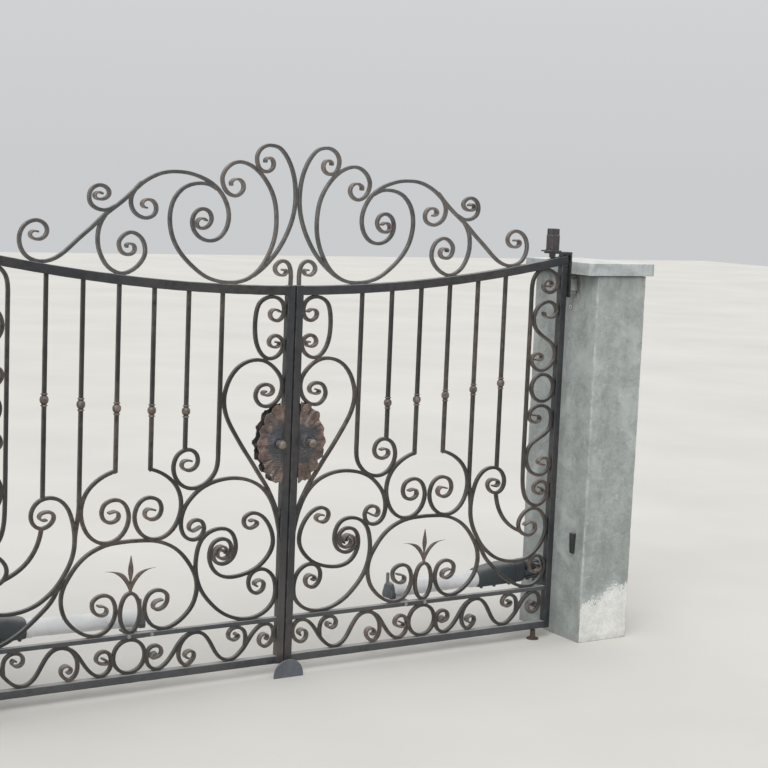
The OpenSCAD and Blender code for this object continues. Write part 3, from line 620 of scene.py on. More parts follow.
def concrete_material(name, c0, c1, patch=True, streak=0.5, top=0.0):
    """Trowelled cement render: mottled, streaked by rain, stained at its head, and white where it was patched low on its front."""
    m, nt, bs = new_mat(name)
    g = Net(nt)
    big = g.noise(3.4, 5.0, 0.62)
    mid = g.noise(15.0, 7.0, 0.68)
    fine = g.noise(120.0, 6.0, 0.72)
    grain = g.noise(620.0, 3.0, 0.7)
    runs = g.noise(9.0, 4.0, 0.6, vec=g.scaled((3.2, 3.2, 0.28)))
    f = g.math("ADD", g.math("MULTIPLY", big, 0.40), g.math("ADD", g.math("MULTIPLY", mid, 0.36), g.math("MULTIPLY", runs, 0.24)))
    col = g.ramp(f, [(0.38, c0), (0.50, tuple((a + b) / 2 for a, b in zip(c0, c1))), (0.61, c1)])
    col = g.mix(g.math("MULTIPLY", g.grey(runs, 0.50, 0.66), 0.34 * streak), col, (0.19, 0.20, 0.195))
    col = g.mix(g.math("MULTIPLY", g.grey(fine, 0.55, 0.70), 0.28), col, (0.54, 0.56, 0.55))
    col = g.mix(g.math("MULTIPLY", g.grey(fine, 0.44, 0.30), 0.28), col, (0.15, 0.16, 0.155))
    blot = g.noise(48.0, 5.0, 0.66)
    col = g.mix(g.math("MULTIPLY", g.grey(blot, 0.54, 0.68), 0.26), col, (0.52, 0.55, 0.54))
    col = g.mix(g.math("MULTIPLY", g.grey(blot, 0.46, 0.32), 0.28), col, (0.16, 0.17, 0.165))
    # broad smears left by the float
    cloud = g.noise(8.0, 3.0, 0.5, dist=0.7)
    col = g.mix(g.math("MULTIPLY", g.grey(cloud, 0.53, 0.66), 0.42), col, (0.53, 0.565, 0.555))
    col = g.mix(g.math("MULTIPLY", g.grey(cloud, 0.46, 0.34), 0.36), col, (0.20, 0.215, 0.21))
    # trowel marks: short pale and dark scuffs
    scuff = g.noise(26.0, 4.0, 0.6, vec=g.scaled((1.0, 1.0, 2.6)), dist=1.2)
    col = g.mix(g.math("MULTIPLY", g.grey(scuff, 0.60, 0.68), 0.35), col, (0.58, 0.60, 0.59))
    col = g.mix(g.math("MULTIPLY", g.grey(scuff, 0.38, 0.30), 0.30), col, (0.17, 0.18, 0.175))
    if patch:
        z = g.height()
        # dark rain stain below the cap
        stain = g.math("MULTIPLY", g.grey(g.math("ADD", z, g.math("MULTIPLY", g.math("SUBTRACT", mid, 0.5), 0.5)), 1.36, 1.54), g.grey(runs, 0.36, 0.60))
        col = g.mix(g.math("MULTIPLY", stain, 0.55), col, (0.13, 0.14, 0.135))
        # rust and paint that ran from the head bracket
        at = g.node("ShaderNodeSeparateXYZ")
        g.link(g.tc, at.inputs[0])
        run = g.math("MULTIPLY", g.grey(g.math("ABSOLUTE", g.math("ADD", at.outputs["Y"], 0.055)), 0.075, 0.030), g.grey(g.math("ABSOLUTE", g.math("SUBTRACT", z, 1.450)), 0.10, 0.03))
        run = g.math("MULTIPLY", run, g.grey(g.noise(30.0, 3.0, 0.5, vec=g.scaled((1.0, 1.0, 0.6))), 0.42, 0.60))
        run = g.math("MULTIPLY", run, g.grey(g.math("ABSOLUTE", g.math("ADD", at.outputs["X"], 1.445)), 1.45, 1.40))
        col = g.mix(g.math("MULTIPLY", run, 0.6), col, (0.070, 0.052, 0.046))
        # scattered white flecks
        fleck = g.math("MULTIPLY", g.grey(g.voronoi(42.0), 0.085, 0.045), g.grey(g.noise(6.0, 3.0), 0.52, 0.60))
        col = g.mix(g.math("MULTIPLY", fleck, 0.8, clamp=True), col, (0.74, 0.75, 0.73))
        # white filler low on the street side, with a ragged, speckled upper edge
        geo = g.node("ShaderNodeNewGeometry")
        sep = g.node("ShaderNodeSeparateXYZ")
        g.link(geo.outputs["Normal"], sep.inputs[0])
        street = g.grey(sep.outputs["Y"], -0.75, -0.93)
        pos = g.node("ShaderNodeSeparateXYZ")
        g.link(g.tc, pos.inputs[0])
        edge_z = g.math("ADD", g.math("MULTIPLY", pos.outputs["X"], 0.38), 0.198)
        t = g.math("SUBTRACT", edge_z, z)
        for scale, det, amp in ((7.0, 3.0, 0.11), (38.0, 4.0, 0.13), (170.0, 4.0, 0.15)):
            t = g.math("ADD", t, g.math("MULTIPLY", g.math("SUBTRACT", g.noise(scale, det, 0.7), 0.5), amp))
        white = g.math("MULTIPLY", g.grey(t, -0.002, 0.005), street)
        filler = g.mix(g.grey(mid, 0.36, 0.62), (0.68, 0.685, 0.66), (0.82, 0.825, 0.80))
        filler = g.mix(g.math("MULTIPLY", g.grey(fine, 0.55, 0.42), 0.22), filler, (0.42, 0.43, 0.41))
        col = g.mix(g.math("MULTIPLY", white, 0.95), col, filler)
        foot = g.math("MULTIPLY", g.grey(g.math("ADD", z, g.math("MULTIPLY", g.math("SUBTRACT", mid, 0.5), 0.10)), 0.035, 0.0), g.grey(g.noise(30.0, 5.0), 0.42, 0.58))
        col = g.mix(g.math("MULTIPLY", foot, 0.5), col, (0.26, 0.235, 0.19))
    pores = g.grey(g.voronoi(75.0), 0.10, 0.045)
    pores = g.math("MULTIPLY", pores, g.grey(g.noise(11.0, 3.0), 0.50, 0.62))
    col = g.mix(g.math("MULTIPLY", pores, 0.6), col, (0.11, 0.115, 0.11))
    # pale edges: partly scuffed render, partly painted highlight along the corners
    wear_and_painted_light = g.math("MULTIPLY", g.attr("edge"), g.grey(g.noise(11.0, 5.0, 0.7), 0.50, 0.62))
    col = g.mix(g.math("MULTIPLY", wear_and_painted_light, 0.40), col, (0.70, 0.71, 0.69))
    # the cap's upward faces are painted lighter: painted light from above
    if top:
        col = g.mix(g.math("MULTIPLY", g.grey(g.up(), 0.5, 0.9), g.grey(mid, 0.30, 0.60, 0.45 * top, top)), col, (0.80, 0.80, 0.77))
    g.link(col, bs.inputs["Base Color"])
    g.link(g.grey(mid, 0.3, 0.7, 0.80, 0.94), bs.inputs["Roughness"])
    h = g.math("ADD", g.math("MULTIPLY", mid, 0.9), g.math("ADD", g.math("MULTIPLY", fine, 0.35), g.math("MULTIPLY", pores, -0.9)))
    nrm = g.bump(h, 0.0026, 0.7)
    nrm = g.bump(grain, 0.0004, 0.7, nrm)
    g.link(nrm, bs.inputs["Normal"])
    return m


def paint_material(name, c0, c1, rough=(0.38, 0.55), scratch=0.3, under=(0.20, 0.16, 0.13), metal=None, dust=0.4, bumpy=0.0004, scale=1.0):
    """A painted, moulded or galvanised surface with blotches, rubbed edges, fine scratches and dust."""
    m, nt, bs = new_mat(name)
    g = Net(nt)
    big = g.noise(7.0 * scale, 4.0, 0.6)
    mid = g.noise(46.0 * scale, 6.0, 0.65)
    fine = g.noise(300.0 * scale, 5.0, 0.7)
    col = g.mix(g.grey(g.math("ADD", g.math("MULTIPLY", big, 0.6), g.math("MULTIPLY", mid, 0.4)), 0.36, 0.64), c0, c1)
    scr = g.noise(70.0, 2.0, 0.5, vec=g.scaled((1.0, 0.25, 5.0)), dist=0.8)
    scr = g.math("MULTIPLY", g.grey(scr, 0.66, 0.72), g.grey(big, 0.45, 0.6))
    col = g.mix(g.math("MULTIPLY", scr, scratch), col, under)
    col = g.mix(g.math("MULTIPLY", g.math("MULTIPLY", g.attr("edge"), g.grey(mid, 0.40, 0.62)), 0.7 * scratch + 0.15), col, under)
    film = g.math("MULTIPLY", g.math("POWER", g.up(), 1.5), g.grey(mid, 0.30, 0.70, 0.3, 1.0))
    col = g.mix(g.math("MULTIPLY", film, dust), col, (0.45, 0.44, 0.42))
    g.link(col, bs.inputs["Base Color"])
    if metal is not None:
        bs.inputs["Metallic"].default_value = metal
    g.link(g.grey(g.math("ADD", g.math("MULTIPLY", fine, 0.5), g.math("MULTIPLY", big, 0.5)), 0.3, 0.7, rough[0], rough[1]), bs.inputs["Roughness"])
    nrm = g.bump(mid, bumpy, 0.5)
    nrm = g.bump(fine, bumpy * 0.3, 0.6, nrm)
    g.link(nrm, bs.inputs["Normal"])
    return m


def rust_material():
    m, nt, bs = new_mat("rusty_steel")
    g = Net(nt)
    big = g.noise(14.0, 4.0, 0.6)
    mid = g.noise(70.0, 6.0, 0.7)
    fine = g.noise(400.0, 5.0, 0.7)
    col = g.ramp(g.math("ADD", g.math("MULTIPLY", big, 0.4), g.math("MULTIPLY", mid, 0.6)),
                 [(0.32, (0.030, 0.025, 0.024)), (0.46, (0.060, 0.043, 0.037)), (0.60, (0.095, 0.060, 0.047)), (0.75, (0.17, 0.125, 0.105))])
    g.link(col, bs.inputs["Base Color"])
    g.link(g.grey(mid, 0.3, 0.7, 0.62, 0.88), bs.inputs["Roughness"])
    bs.inputs["Metallic"].default_value = 0.15
    nrm = g.bump(mid, 0.0012, 0.8)
    nrm = g.bump(fine, 0.0004, 0.8, nrm)
    g.link(nrm, bs.inputs["Normal"])
    return m


IRON = iron_material("black_iron_frame", (0.011, 0.013, 0.0165), (0.031, 0.035, 0.041), dust=(0.37, 0.37, 0.365), film=(0.55, 0.95),
                     wear_and_painted_light=(0.20, 0.19, 0.185), edge_wear_and_highlight=0.6, foot=True)
# a lighter copy of the frame iron for the middle and bottom rails: painted light
IRON_LOW_LIT = iron_material("black_iron_low_rails_lit", (0.031, 0.034, 0.038), (0.066, 0.071, 0.078), dust=(0.40, 0.40, 0.395), film=(0.55, 0.95),
                         wear_and_painted_light=(0.24, 0.235, 0.23), edge_wear_and_highlight=0.6, brown=(0.066, 0.060, 0.058))
IRON_SCROLL = iron_material("black_iron_scrolls", (0.0095, 0.0098, 0.0098), (0.031, 0.030, 0.0285), wear_and_painted_light=(0.25, 0.21, 0.185), edge_wear_and_highlight=0.7, film=(0.35, 0.8), brown=(0.092, 0.068, 0.056))
# a lighter copy of the iron for the crest, with pale rims: painted light where the crest catches the sky
IRON_CREST_LIT = iron_material("black_iron_crest_lit", (0.036, 0.037, 0.039), (0.100, 0.099, 0.098), wear_and_painted_light=(0.46, 0.425, 0.40), edge_wear_and_highlight=0.9, brown=(0.125, 0.104, 0.092), film=(0.35, 0.8),
                           dust=(0.36, 0.35, 0.335))
ROSETTE = rosette_material()
KNOB = iron_material("copper_patina_knob", (0.05, 0.045, 0.042), (0.13, 0.11, 0.10), copper=(0.36, 0.28, 0.23), rust=0.0, hammer=0.0003)
RENDER = concrete_material("concrete_render", (0.250, 0.277, 0.270), (0.412, 0.447, 0.437), streak=0.5)
CAP = concrete_material("cap_concrete_cast", (0.31, 0.35, 0.355), (0.50, 0.54, 0.545), patch=False, streak=0.3, top=0.75)
MORTAR = concrete_material("concrete_mortar", (0.120, 0.124, 0.119), (0.235, 0.244, 0.236), patch=False)
STOP = paint_material("stop_paint_blue_grey", (0.070, 0.082, 0.100), (0.125, 0.138, 0.158), scratch=0.9, under=(0.135, 0.115, 0.108), dust=0.3, scale=1.6)
HOUSING = paint_material("housing_paint_dark", (0.024, 0.021, 0.024), (0.053, 0.046, 0.051), scratch=0.4, dust=0.5)
FILLER = concrete_material("concrete_filler_white", (0.62, 0.63, 0.61), (0.82, 0.825, 0.80), patch=False, streak=0.1)
RUSTY = rust_material()
BRACKET = paint_material("bracket_paint_dark", (0.030, 0.033, 0.038), (0.062, 0.066, 0.072), scratch=0.4, under=(0.20, 0.21, 0.22), dust=0.4)
ZINC = paint_material("zinc_steel_galvanised", (0.22, 0.235, 0.25), (0.42, 0.44, 0.455), rough=(0.34, 0.52), metal=0.8, scratch=0.2, under=(0.16, 0.12, 0.09), dust=0.3)
PLASTIC = paint_material("dark_plastic_case", (0.018, 0.019, 0.021), (0.040, 0.042, 0.045), scratch=0.15, under=(0.09, 0.09, 0.09), dust=0.5)
SLATE = paint_material("drive_plastic_slate", (0.052, 0.063, 0.071), (0.080, 0.095, 0.105), scratch=0.2, under=(0.14, 0.15, 0.16), dust=0.35, bumpy=0.00025)
TUBE = paint_material("drive_grey_tube", (0.79, 0.805, 0.83), (0.90, 0.91, 0.925), rough=(0.22, 0.36), scratch=0.25, under=(0.30, 0.31, 0.32), dust=0.25, bumpy=0.00015)
ROD = paint_material("drive_grey_rod", (0.13, 0.12, 0.115), (0.27, 0.25, 0.24), scratch=0.5, under=(0.12, 0.08, 0.06), dust=0.4)
DRIVE_GREY = paint_material("drive_grey_cast", (0.062, 0.074, 0.086), (0.105, 0.122, 0.138), scratch=0.4, under=(0.35, 0.36, 0.36), dust=0.35)

# ---------------------------------------------------------------- sizes shared with the CAD model
MEET, TUBE_W, TOP_H, MID_H, MID_D, BAR, SW, SD = 3.0, 30.0, 34.0, 17.0, 22.0, 14.0, 13.0, 15.0
PIVOT_X, JAMB_X, PIER_W, PIER_D, PIER_H, CAP_X, CAP_FAR, CAP_Y, PIER_Y0 = 1185.0, 1320.0, 250.0, 410.0, 1515.0, 49.0, 30.0, 12.0, -135.0
LEAF_Z0, MID_Z, RAIL_TOP, RAIL_R = -20.0, 141.0, 1399.0, 6370.0
STILE_IN, HINGE_IN = MEET + TUBE_W, 1228.0
HINGE_OUT = HINGE_IN + TUBE_W
BAR_X = [293.0 + 133.0 * k for k in range(7)]


def rail_z(x):
    return RAIL_TOP + RAIL_R - math.sqrt(RAIL_R * RAIL_R - x * x)


def flip(P, c):
    return [[2 * c - p[0], p[1]] for p in P]


# Scroll routes of the right leaf, the same points as in the CAD source, in gate millimetres.
# routes begin
crest_tall = [[138,1843],[137,1854],[124,1861],[110,1855],[103,1840],[107,1823],[122,1811],[142,1810],[160,1820],[170,1841],[171,1866],[158,1889],[134,1903],
  [106,1904],[78,1896],[53,1871],[32,1836],[16,1791],[9,1742],[9,1693],[18,1644],[36,1595],[57,1555],[80,1520],[108,1488],[140,1458],[174,1434]]
crest_ring = [[272,1756],[273,1769],[258,1779],[239,1778],[225,1766],[222,1747],[233,1729],[253,1719],[274,1723],[292,1736],[304,1757],[308,1784],[295,1812],[270,1833],
  [239,1841],[204,1834],[169,1815],[137,1784],[110,1745],[92,1700],[85,1651],[85,1602],[95,1553],[116,1504],[144,1462],
  [180,1431],[222,1414],[267,1410],[316,1415],[365,1431],[410,1462],[449,1497],[478,1533],[498,1574],[508,1623],[505,1668],
  [491,1706],[463,1738],[428,1755],[386,1760],[352,1755],[326,1741]]
crest_s = [[366,1629],[378,1637],[393,1635],[403,1624],[402,1610],[388,1601],[368,1604],[352,1617],[345,1638],[357,1663],[386,1671],[412,1655],[422,1624],[413,1591],[386,1566],[350,1557],
  [314,1568],[288,1598],[277,1638],[282,1676],[298,1711],[323,1742],[358,1767],[400,1784],[445,1795],[498,1797],[540,1791],
  [582,1774],[622,1748],[677,1697],[719,1665],[761,1633],[796,1599],[838,1564],[873,1532],[903,1506],[936,1487],[971,1479],
  [1006,1484],[1034,1501],[1051,1529],[1055,1560],[1045,1591],[1021,1612],[992,1618],[968,1607],[957,1588],[961,1569],[976,1556],[997,1553],[1014,1561],[1017,1574],[1005,1582],[990,1579]]
crest_above = [[762,1712],[775,1718],[788,1712],[789,1700],[776,1693],[757,1694],[742,1703],[736,1718],[748,1735],[774,1742],[800,1729],[810,1704],[803,1676],[776,1659],[742,1657],[712,1672]]
crest_below = [[597,1668],[609,1671],[615,1681],[609,1692],[593,1698],[574,1693],[562,1678],[561,1657],[574,1640],[603,1632],[635,1645],[653,1669],[656,1700],[642,1730],[616,1756]]
crest_c = [[668,1531],[670,1540],[657,1545],[643,1540],[637,1526],[643,1513],[658,1506],[677,1508],[692,1521],[698,1549],[680,1573],[652,1584],[622,1572],[603,1547],[598,1510],
  [614,1479],[642,1454],[678,1440],[712,1447],[743,1469],[764,1504],[775,1540],[775,1581],[765,1616],[748,1642]]
hook = [[18,1399],[17,1425],[18,1450],[27,1477],[48,1490],[71,1484],[85,1466],[80,1448],[64,1437],[46,1438],[37,1448],[42,1458],[54,1456]]
small_c = [[58,1303],[70,1311],[85,1312],[97,1303],[98,1288],[87,1275],[68,1270],[50,1280],[40,1302],[44,1332],[63,1352],[92,1359],[120,1353],[144,1335],
  [155,1304],[159,1266],[158,1227],[152,1192],[137,1159],[116,1138],[92,1131],[66,1139],[47,1157],[38,1182],[49,1206],[71,1217],
  [90,1211],[100,1196],[96,1181],[80,1173],[63,1175],[55,1184],[60,1192],[70,1191]]
heart = [[106,1012],[118,1009],[117,999],[101,996],[84,1001],[76,1014],[82,1028],[100,1037],[127,1034],[144,1016],[148,989],[131,964],[106,955],[78,961],[55,979],
  [42,1004],[38,1031],[44,1060],[66,1090],[95,1114],[127,1127],[162,1128],[198,1118],[229,1097],[253,1066],[268,1031],[276,996],
  [274,958],[263,922],[246,888],[218,843],[190,800],[155,751],[120,699],[92,660],[74,627],[58,595],[44,560]]
arch = [[356,526],[371,518],[388,511],[400,517],[403,532],[392,547],[370,552],[350,543],[341,522],[346,500],[361,484],[386,479],[411,488],[428,509],[435,538],
  [432,570],[421,601],[400,630],[368,660],[330,680],[288,692],[239,697],[190,692],[148,678],[113,657],[86,629],[66,597],[49,555],[38,515],[31,480],[26,450]]
inner_c = [[157,531],[143,535],[129,530],[125,519],[136,509],[155,504],[172,511],[181,530],[174,550],[147,562],[116,554],[92,535],[73,508],[60,478],[55,445],
  [62,415],[82,385],[112,358],[150,340],[190,330],[228,327],[262,333],[290,350],[310,378],[318,412],[312,446],[296,466],[270,474],
  [246,468],[231,450],[229,428],[239,408],[259,398],[279,405],[286,421],[277,435],[263,433],[260,424]]
spiral_d = [[118,284],[129,288],[127,299],[113,305],[97,303],[88,288],[94,268],[112,257],[133,260],[149,278],[154,303],[147,327],[127,343],[102,347],[78,340],
  [56,321],[43,296],[38,261],[43,226],[62,198],[92,176],[127,165],[162,163],[204,170],[246,188],[281,212],[316,247],[341,279],
  [358,312],[369,352],[372,387],[369,422],[361,457],[344,485],[316,505],[281,513],[248,508],[225,490],[212,461],[210,429],
  [221,401],[242,384],[267,379],[291,389],[302,411],[296,434],[276,447],[255,443],[246,429],[252,416]]
lyre = [[538,600],[552,604],[567,605],[577,594],[575,579],[562,569],[545,566],[527,572],[515,587],[512,608],[522,632],[547,645],[575,645],[599,629],[612,604],
  [616,576],[608,544],[589,516],[561,498],[530,493],[498,500],[470,520],[450,548],[438,583],[435,618],[442,653],[456,681],[477,705],
  [505,726],[533,740],[560,749]]
omega = [[501,271],[517,269],[531,263],[537,251],[531,239],[515,235],[496,242],[484,256],[480,272],[483,289],[502,304],[530,307],[555,293],[568,264],[569,233],[557,201],[533,175],
  [498,163],[463,168],[428,187],[400,212],[379,240],[367,275],[364,310],[372,347],[390,381],[417,419],[449,450],[484,471],[526,486],
  [568,492],[625,494]]
bar_j = [[293,800],[293,770],[297,737],[312,709],[337,685],[365,672],[393,668],[421,674],[446,691],[463,716],[470,744],[466,772],[452,796],
  [426,810],[400,809],[380,793],[373,768],[382,746],[404,735],[426,739],[438,752],[434,767],[418,773],[400,769]]
side_s = [[943,594],[959,592],[970,602],[965,615],[947,621],[927,619],[916,605],[920,587],[936,571],[961,563],[985,574],[998,596],[998,623],[985,648],[964,664],[936,670],[908,665],
  [884,650],[863,623],[850,588],[842,553],[838,511],[842,469],[856,427],[880,385],[905,350],[936,322],[971,298],[1013,282],
  [1055,275],[1097,275],[1136,284],[1170,305],[1196,332],[1215,364],[1223,399],[1218,434],[1203,462],[1181,481],[1153,489],
  [1121,482],[1097,462],[1083,438],[1083,413],[1097,392],[1120,379],[1146,379],[1165,392],[1169,412],[1160,428],[1141,433],[1122,429],[1111,421]]
bar5_foot = [[825,655],[825,635],[826,612],[829,588],[833,562],[837,535],[839,508]]
crescent = [[961,558],[968,525],[982,490],[1003,458],[1030,431],[1062,410],[1092,396]]
side_low = [[879,382],[900,340],[922,301],[957,266],[992,235],[1027,207],[1062,186],[1097,169],[1132,163],[1167,167],[1197,185],[1216,213],[1223,245],
  [1213,269],[1195,286],[1170,287],[1152,271],[1146,248],[1156,228],[1176,219],[1195,226],[1202,242],[1192,253],[1177,252]]
bar7_route = [[1163,1399],[1179,1397],[1191,1405],[1186,1418],[1169,1424],[1152,1414],[1147,1396],[1157,1380],[1179,1372],[1205,1381],[1222,1407],[1215,1438],[1188,1460],[1153,1468],[1119,1457],
  [1098,1430],[1091,1395],[1091,1340],[1091,1200],[1091,1000],[1091,800],[1091,640],[1096,575],[1111,532],[1136,508],[1167,499],[1195,508],
  [1216,532],[1223,563],[1212,588],[1187,599],[1162,593],[1148,575],[1154,557],[1174,547],[1195,550],[1201,560],[1189,569],[1175,574]]
panel_s = [[1156,1294],[1160,1280],[1176,1271],[1196,1271],[1213,1281],[1221,1299],[1212,1320],[1196,1332],[1174,1337],[1139,1325],[1115,1297],[1108,1262],[1118,1230],[1146,1203],
  [1181,1182],[1207,1164],[1223,1136],[1222,1101],[1200,1073],[1167,1056],[1136,1059],[1115,1077],[1106,1098],[1114,1118],[1134,1127],[1154,1120],[1158,1106],[1144,1098],[1122,1101]]
panel_s2 = [[1128,874],[1146,874],[1160,867],[1161,853],[1146,844],[1126,846],[1111,858],[1108,874],[1116,893],[1137,908],[1167,913],[1196,905],[1217,884],
  [1223,852],[1216,818],[1191,793],[1153,772],[1125,754],[1109,730],[1104,695],[1114,660],[1136,636],[1167,625],[1196,629],[1216,646],
  [1224,668],[1214,690],[1193,697],[1172,691],[1164,678],[1176,668],[1196,667]]
wave = [[74,75],[66,84],[70,95],[84,98],[97,90],[102,74],[95,57],[78,49],[60,55],[45,74],[40,100],[50,124],[71,136],[96,132],[117,118],[138,94],[158,63],[180,38],
  [204,20],[232,15],[260,26],[281,49],[298,79],[316,108],[337,128],[365,136],[393,129],[414,111],[428,86],[431,56],[422,31],[402,16],[381,26],
  [368,46],[373,64],[391,69],[406,59],[404,46],[392,42]]
band_up = [[205,107],[196,112],[189,103],[197,92],[213,88],[228,97],[231,115],[220,130],[203,136],[184,133],[165,118],[158,92],[161,60]]
band_low = [[522,78],[533,75],[543,67],[537,58],[520,60],[504,67],[499,80],[504,94],[518,103],[537,102],[550,91],[557,69],[554,43],[540,24],[518,15],[494,22],[470,43],[449,72],[431,100],[411,121],[388,132]]
# routes end


# how much copper shows on a collar, ring by ring of its outline, nothing in its two necks
COLLAR_RING = [0.9, 0.9, 1.0, 1.0, 0.7, 0.1, 0.0, 0.15, 0.8, 1.0, 0.9, 0.8, 0.6, 0.1, 0.0, 0.1, 0.7, 1.0, 1.0, 0.9, 0.9]
COLLAR_RUB = [COLLAR_RING[0]] + [c for c in COLLAR_RING[1:-1] for _ in range(28)] + [COLLAR_RING[-1]]


# ---------------------------------------------------------------- leaves
def make_leaf(side):
    S = "right" if side > 0 else "left"
    body = S + "_leaf"
    seed = 10.0 * side
    routes = []          # every bar's route, for the weld beads

    def note(pair):
        routes.append(pair)

    def line(points, w):
        routes.append((np.array(points, float), np.full(len(points), w / 2.0)))

    # frame of square tube
    arc = [(x, rail_z(x) - TOP_H / 2) for x in np.linspace(STILE_IN - 1, HINGE_OUT, 49)]
    B = Build()
    sweep(B, arc, TOP_H, TUBE_W, ends=(0, 0), r=3.2, raw=True, wob=0.15, seed=seed + 1)
    B.make(S + "_top_rail_tube", side, IRON, body, "black_iron", [S + "_top_rail"])
    line(arc, TOP_H)

    B = Build()
    xs = np.linspace(STILE_IN, HINGE_IN, 40)
    sweep(B, [(x, MID_Z + MID_H / 2) for x in xs], MID_H, MID_D, ends=(0, 0), r=2.0, raw=True, wob=0.2, seed=seed + 2)
    B.make(S + "_middle_rail_bar", side, IRON_LOW_LIT, body, "black_iron", [S + "_middle_rail"])
    line([(x, MID_Z + MID_H / 2) for x in xs], MID_H)

    B = Build()
    sweep(B, [(x, LEAF_Z0 + TUBE_W / 2) for x in xs], TUBE_W, TUBE_W, ends=(0, 0), r=3.0, raw=True, wob=0.15, seed=seed + 3)
    B.make(S + "_bottom_rail_tube", side, IRON_LOW_LIT, body, "black_iron", [S + "_bottom_rail"])
    line([(x, LEAF_Z0 + TUBE_W / 2) for x in xs], TUBE_W)

    B = Build()
    top = rail_z(HINGE_IN) - TOP_H
    sweep(B, [(HINGE_IN + TUBE_W / 2, z) for z in np.linspace(LEAF_Z0, top, 44)], TUBE_W, TUBE_W, ends=(0, 0), r=3.0, raw=True, wob=0.1, seed=seed + 4)
    B.make(S + "_hinge_stile_tube", side, IRON, body, "black_iron", [S + "_hinge_stile"])
    line([(HINGE_IN + TUBE_W / 2, z) for z in np.linspace(LEAF_Z0, top, 44)], TUBE_W)

    B = Build()
    sweep(B, [(MEET + TUBE_W / 2, z) for z in np.linspace(LEAF_Z0, RAIL_TOP, 44)], TUBE_W, TUBE_W, ends=(0, 0), r=3.0, raw=True, wob=0.1, seed=seed + 5)
    B.make(S + "_meeting_stile_tube", side, IRON, body, "black_iron", [S + "_meeting_stile"])
    line([(MEET + TUBE_W / 2, z) for z in np.linspace(LEAF_Z0, RAIL_TOP, 44)], TUBE_W)

    # bars with their turned collars
    B = Build()
    feet = [790, 813, 744, 744, 645, 668]
    for k in range(6):
        x = BAR_X[k]
        z1 = rail_z(x) - TOP_H + 2
        zz = np.linspace(feet[k], z1, 24)
        note(sweep(B, [(x, z) for z in zz], BAR, BAR, ends=(0, 0), r=1.6, raw=True, wob=0.25, seed=seed + 20 + k))
    note(sweep(B, bar5_foot, BAR - 0.2, BAR - 0.2, ends=(0, 0), seed=seed + 32))
    note(sweep(B, bar_j, BAR - 0.5, BAR, ends=(0, 1), seed=seed + 30))
    note(sweep(B, bar7_route, BAR - 0.5, BAR, ends=(1, 1), seed=seed + 31))
    collar = [(0, -22.6), (10.0, -22.6), (11.8, -21.6), (12.4, -19.8), (11.6, -18.0), (9.4, -17.2), (8.6, -14.6), (10.4, -12.6), (13.4, -9.4), (15.0, -4.8),
              (15.5, 0.0), (15.0, 4.8), (13.4, 9.4), (10.4, 12.6), (8.6, 14.6), (9.4, 17.2), (11.6, 18.0), (12.4, 19.8), (11.8, 21.6), (10.0, 22.6), (0, 22.6)]
    for k, z in enumerate((950, 958, 970, 989, 1010)):
        lathe(B, collar, (BAR_X[k + 1], 0, z), (0, 0, 1), seg=28, rub=[c for c in COLLAR_RUB])
    B.make(S + "_bars_forged", side, IRON_SCROLL, body, "black_iron", [S + "_bars"])

    # scrolls, one mesh for each CAD node
    groups = {
        "crest": [(crest_tall, (1, 0)), (crest_ring, (1, 0)), (crest_s, (1, 1)), (crest_above, (1, 0)), (crest_below, (1, 0)),
                  (crest_c, (1, 0)), (hook, (0, 1))],
        "heart_scrolls": [(small_c, (1, 1)), (heart, (1, 0))],
        "side_scrolls": [(side_s, (1, 1)), (crescent, (0, 0)), (side_low, (0, 1)), (panel_s, (1, 1)), (panel_s2, (1, 1))],
        "lower_scrolls": [(arch, (1, 0)), (inner_c, (1, 1)), (spiral_d, (1, 1)), (lyre, (1, 0)), (flip(lyre, 626.5), (1, 0)),
                          (omega, (1, 0)), (flip(omega, 625), (1, 0))],
        "band_scrolls": [(wave, (1, 1)), (band_up, (1, 0)), (band_low, (1, 0)), (flip(wave, 625), (1, 1)), (flip(band_up, 625), (1, 0)),
                         (flip(band_low, 625), (1, 0))],
    }
    rings = {"side_scrolls": [(1168, 985, 55, 55)], "lower_scrolls": [(625, 234, 38, 71)], "band_scrolls": [(625, 75.5, 60.5, 60.5)]}
    for n_g, (node, items) in enumerate(groups.items()):
        B = Build()
        for k, (P, ends) in enumerate(items):
            note(sweep(B, P, SW, SD, ends=ends, seed=seed + 40 + 10 * n_g + k))
        for cx, cz, a, b in rings.get(node, []):
            note(sweep(B, ring_route(cx, cz, a, b), SW, SD, closed=True, n=2, seed=seed + 90, base_rub=0.12))
        if node == "lower_scrolls":
            fleur(B, seed)
        B.make(S + "_" + node + "_forged", side, IRON_CREST_LIT if node == "crest" else IRON_SCROLL, body, "black_iron", [S + "_" + node])

    B = Build()
    count = find_welds(B, routes, seed=seed)
    B.make(S + "_weld_beads", side, IRON_SCROLL, body, "black_iron")
    rosette(side, S, body, seed)


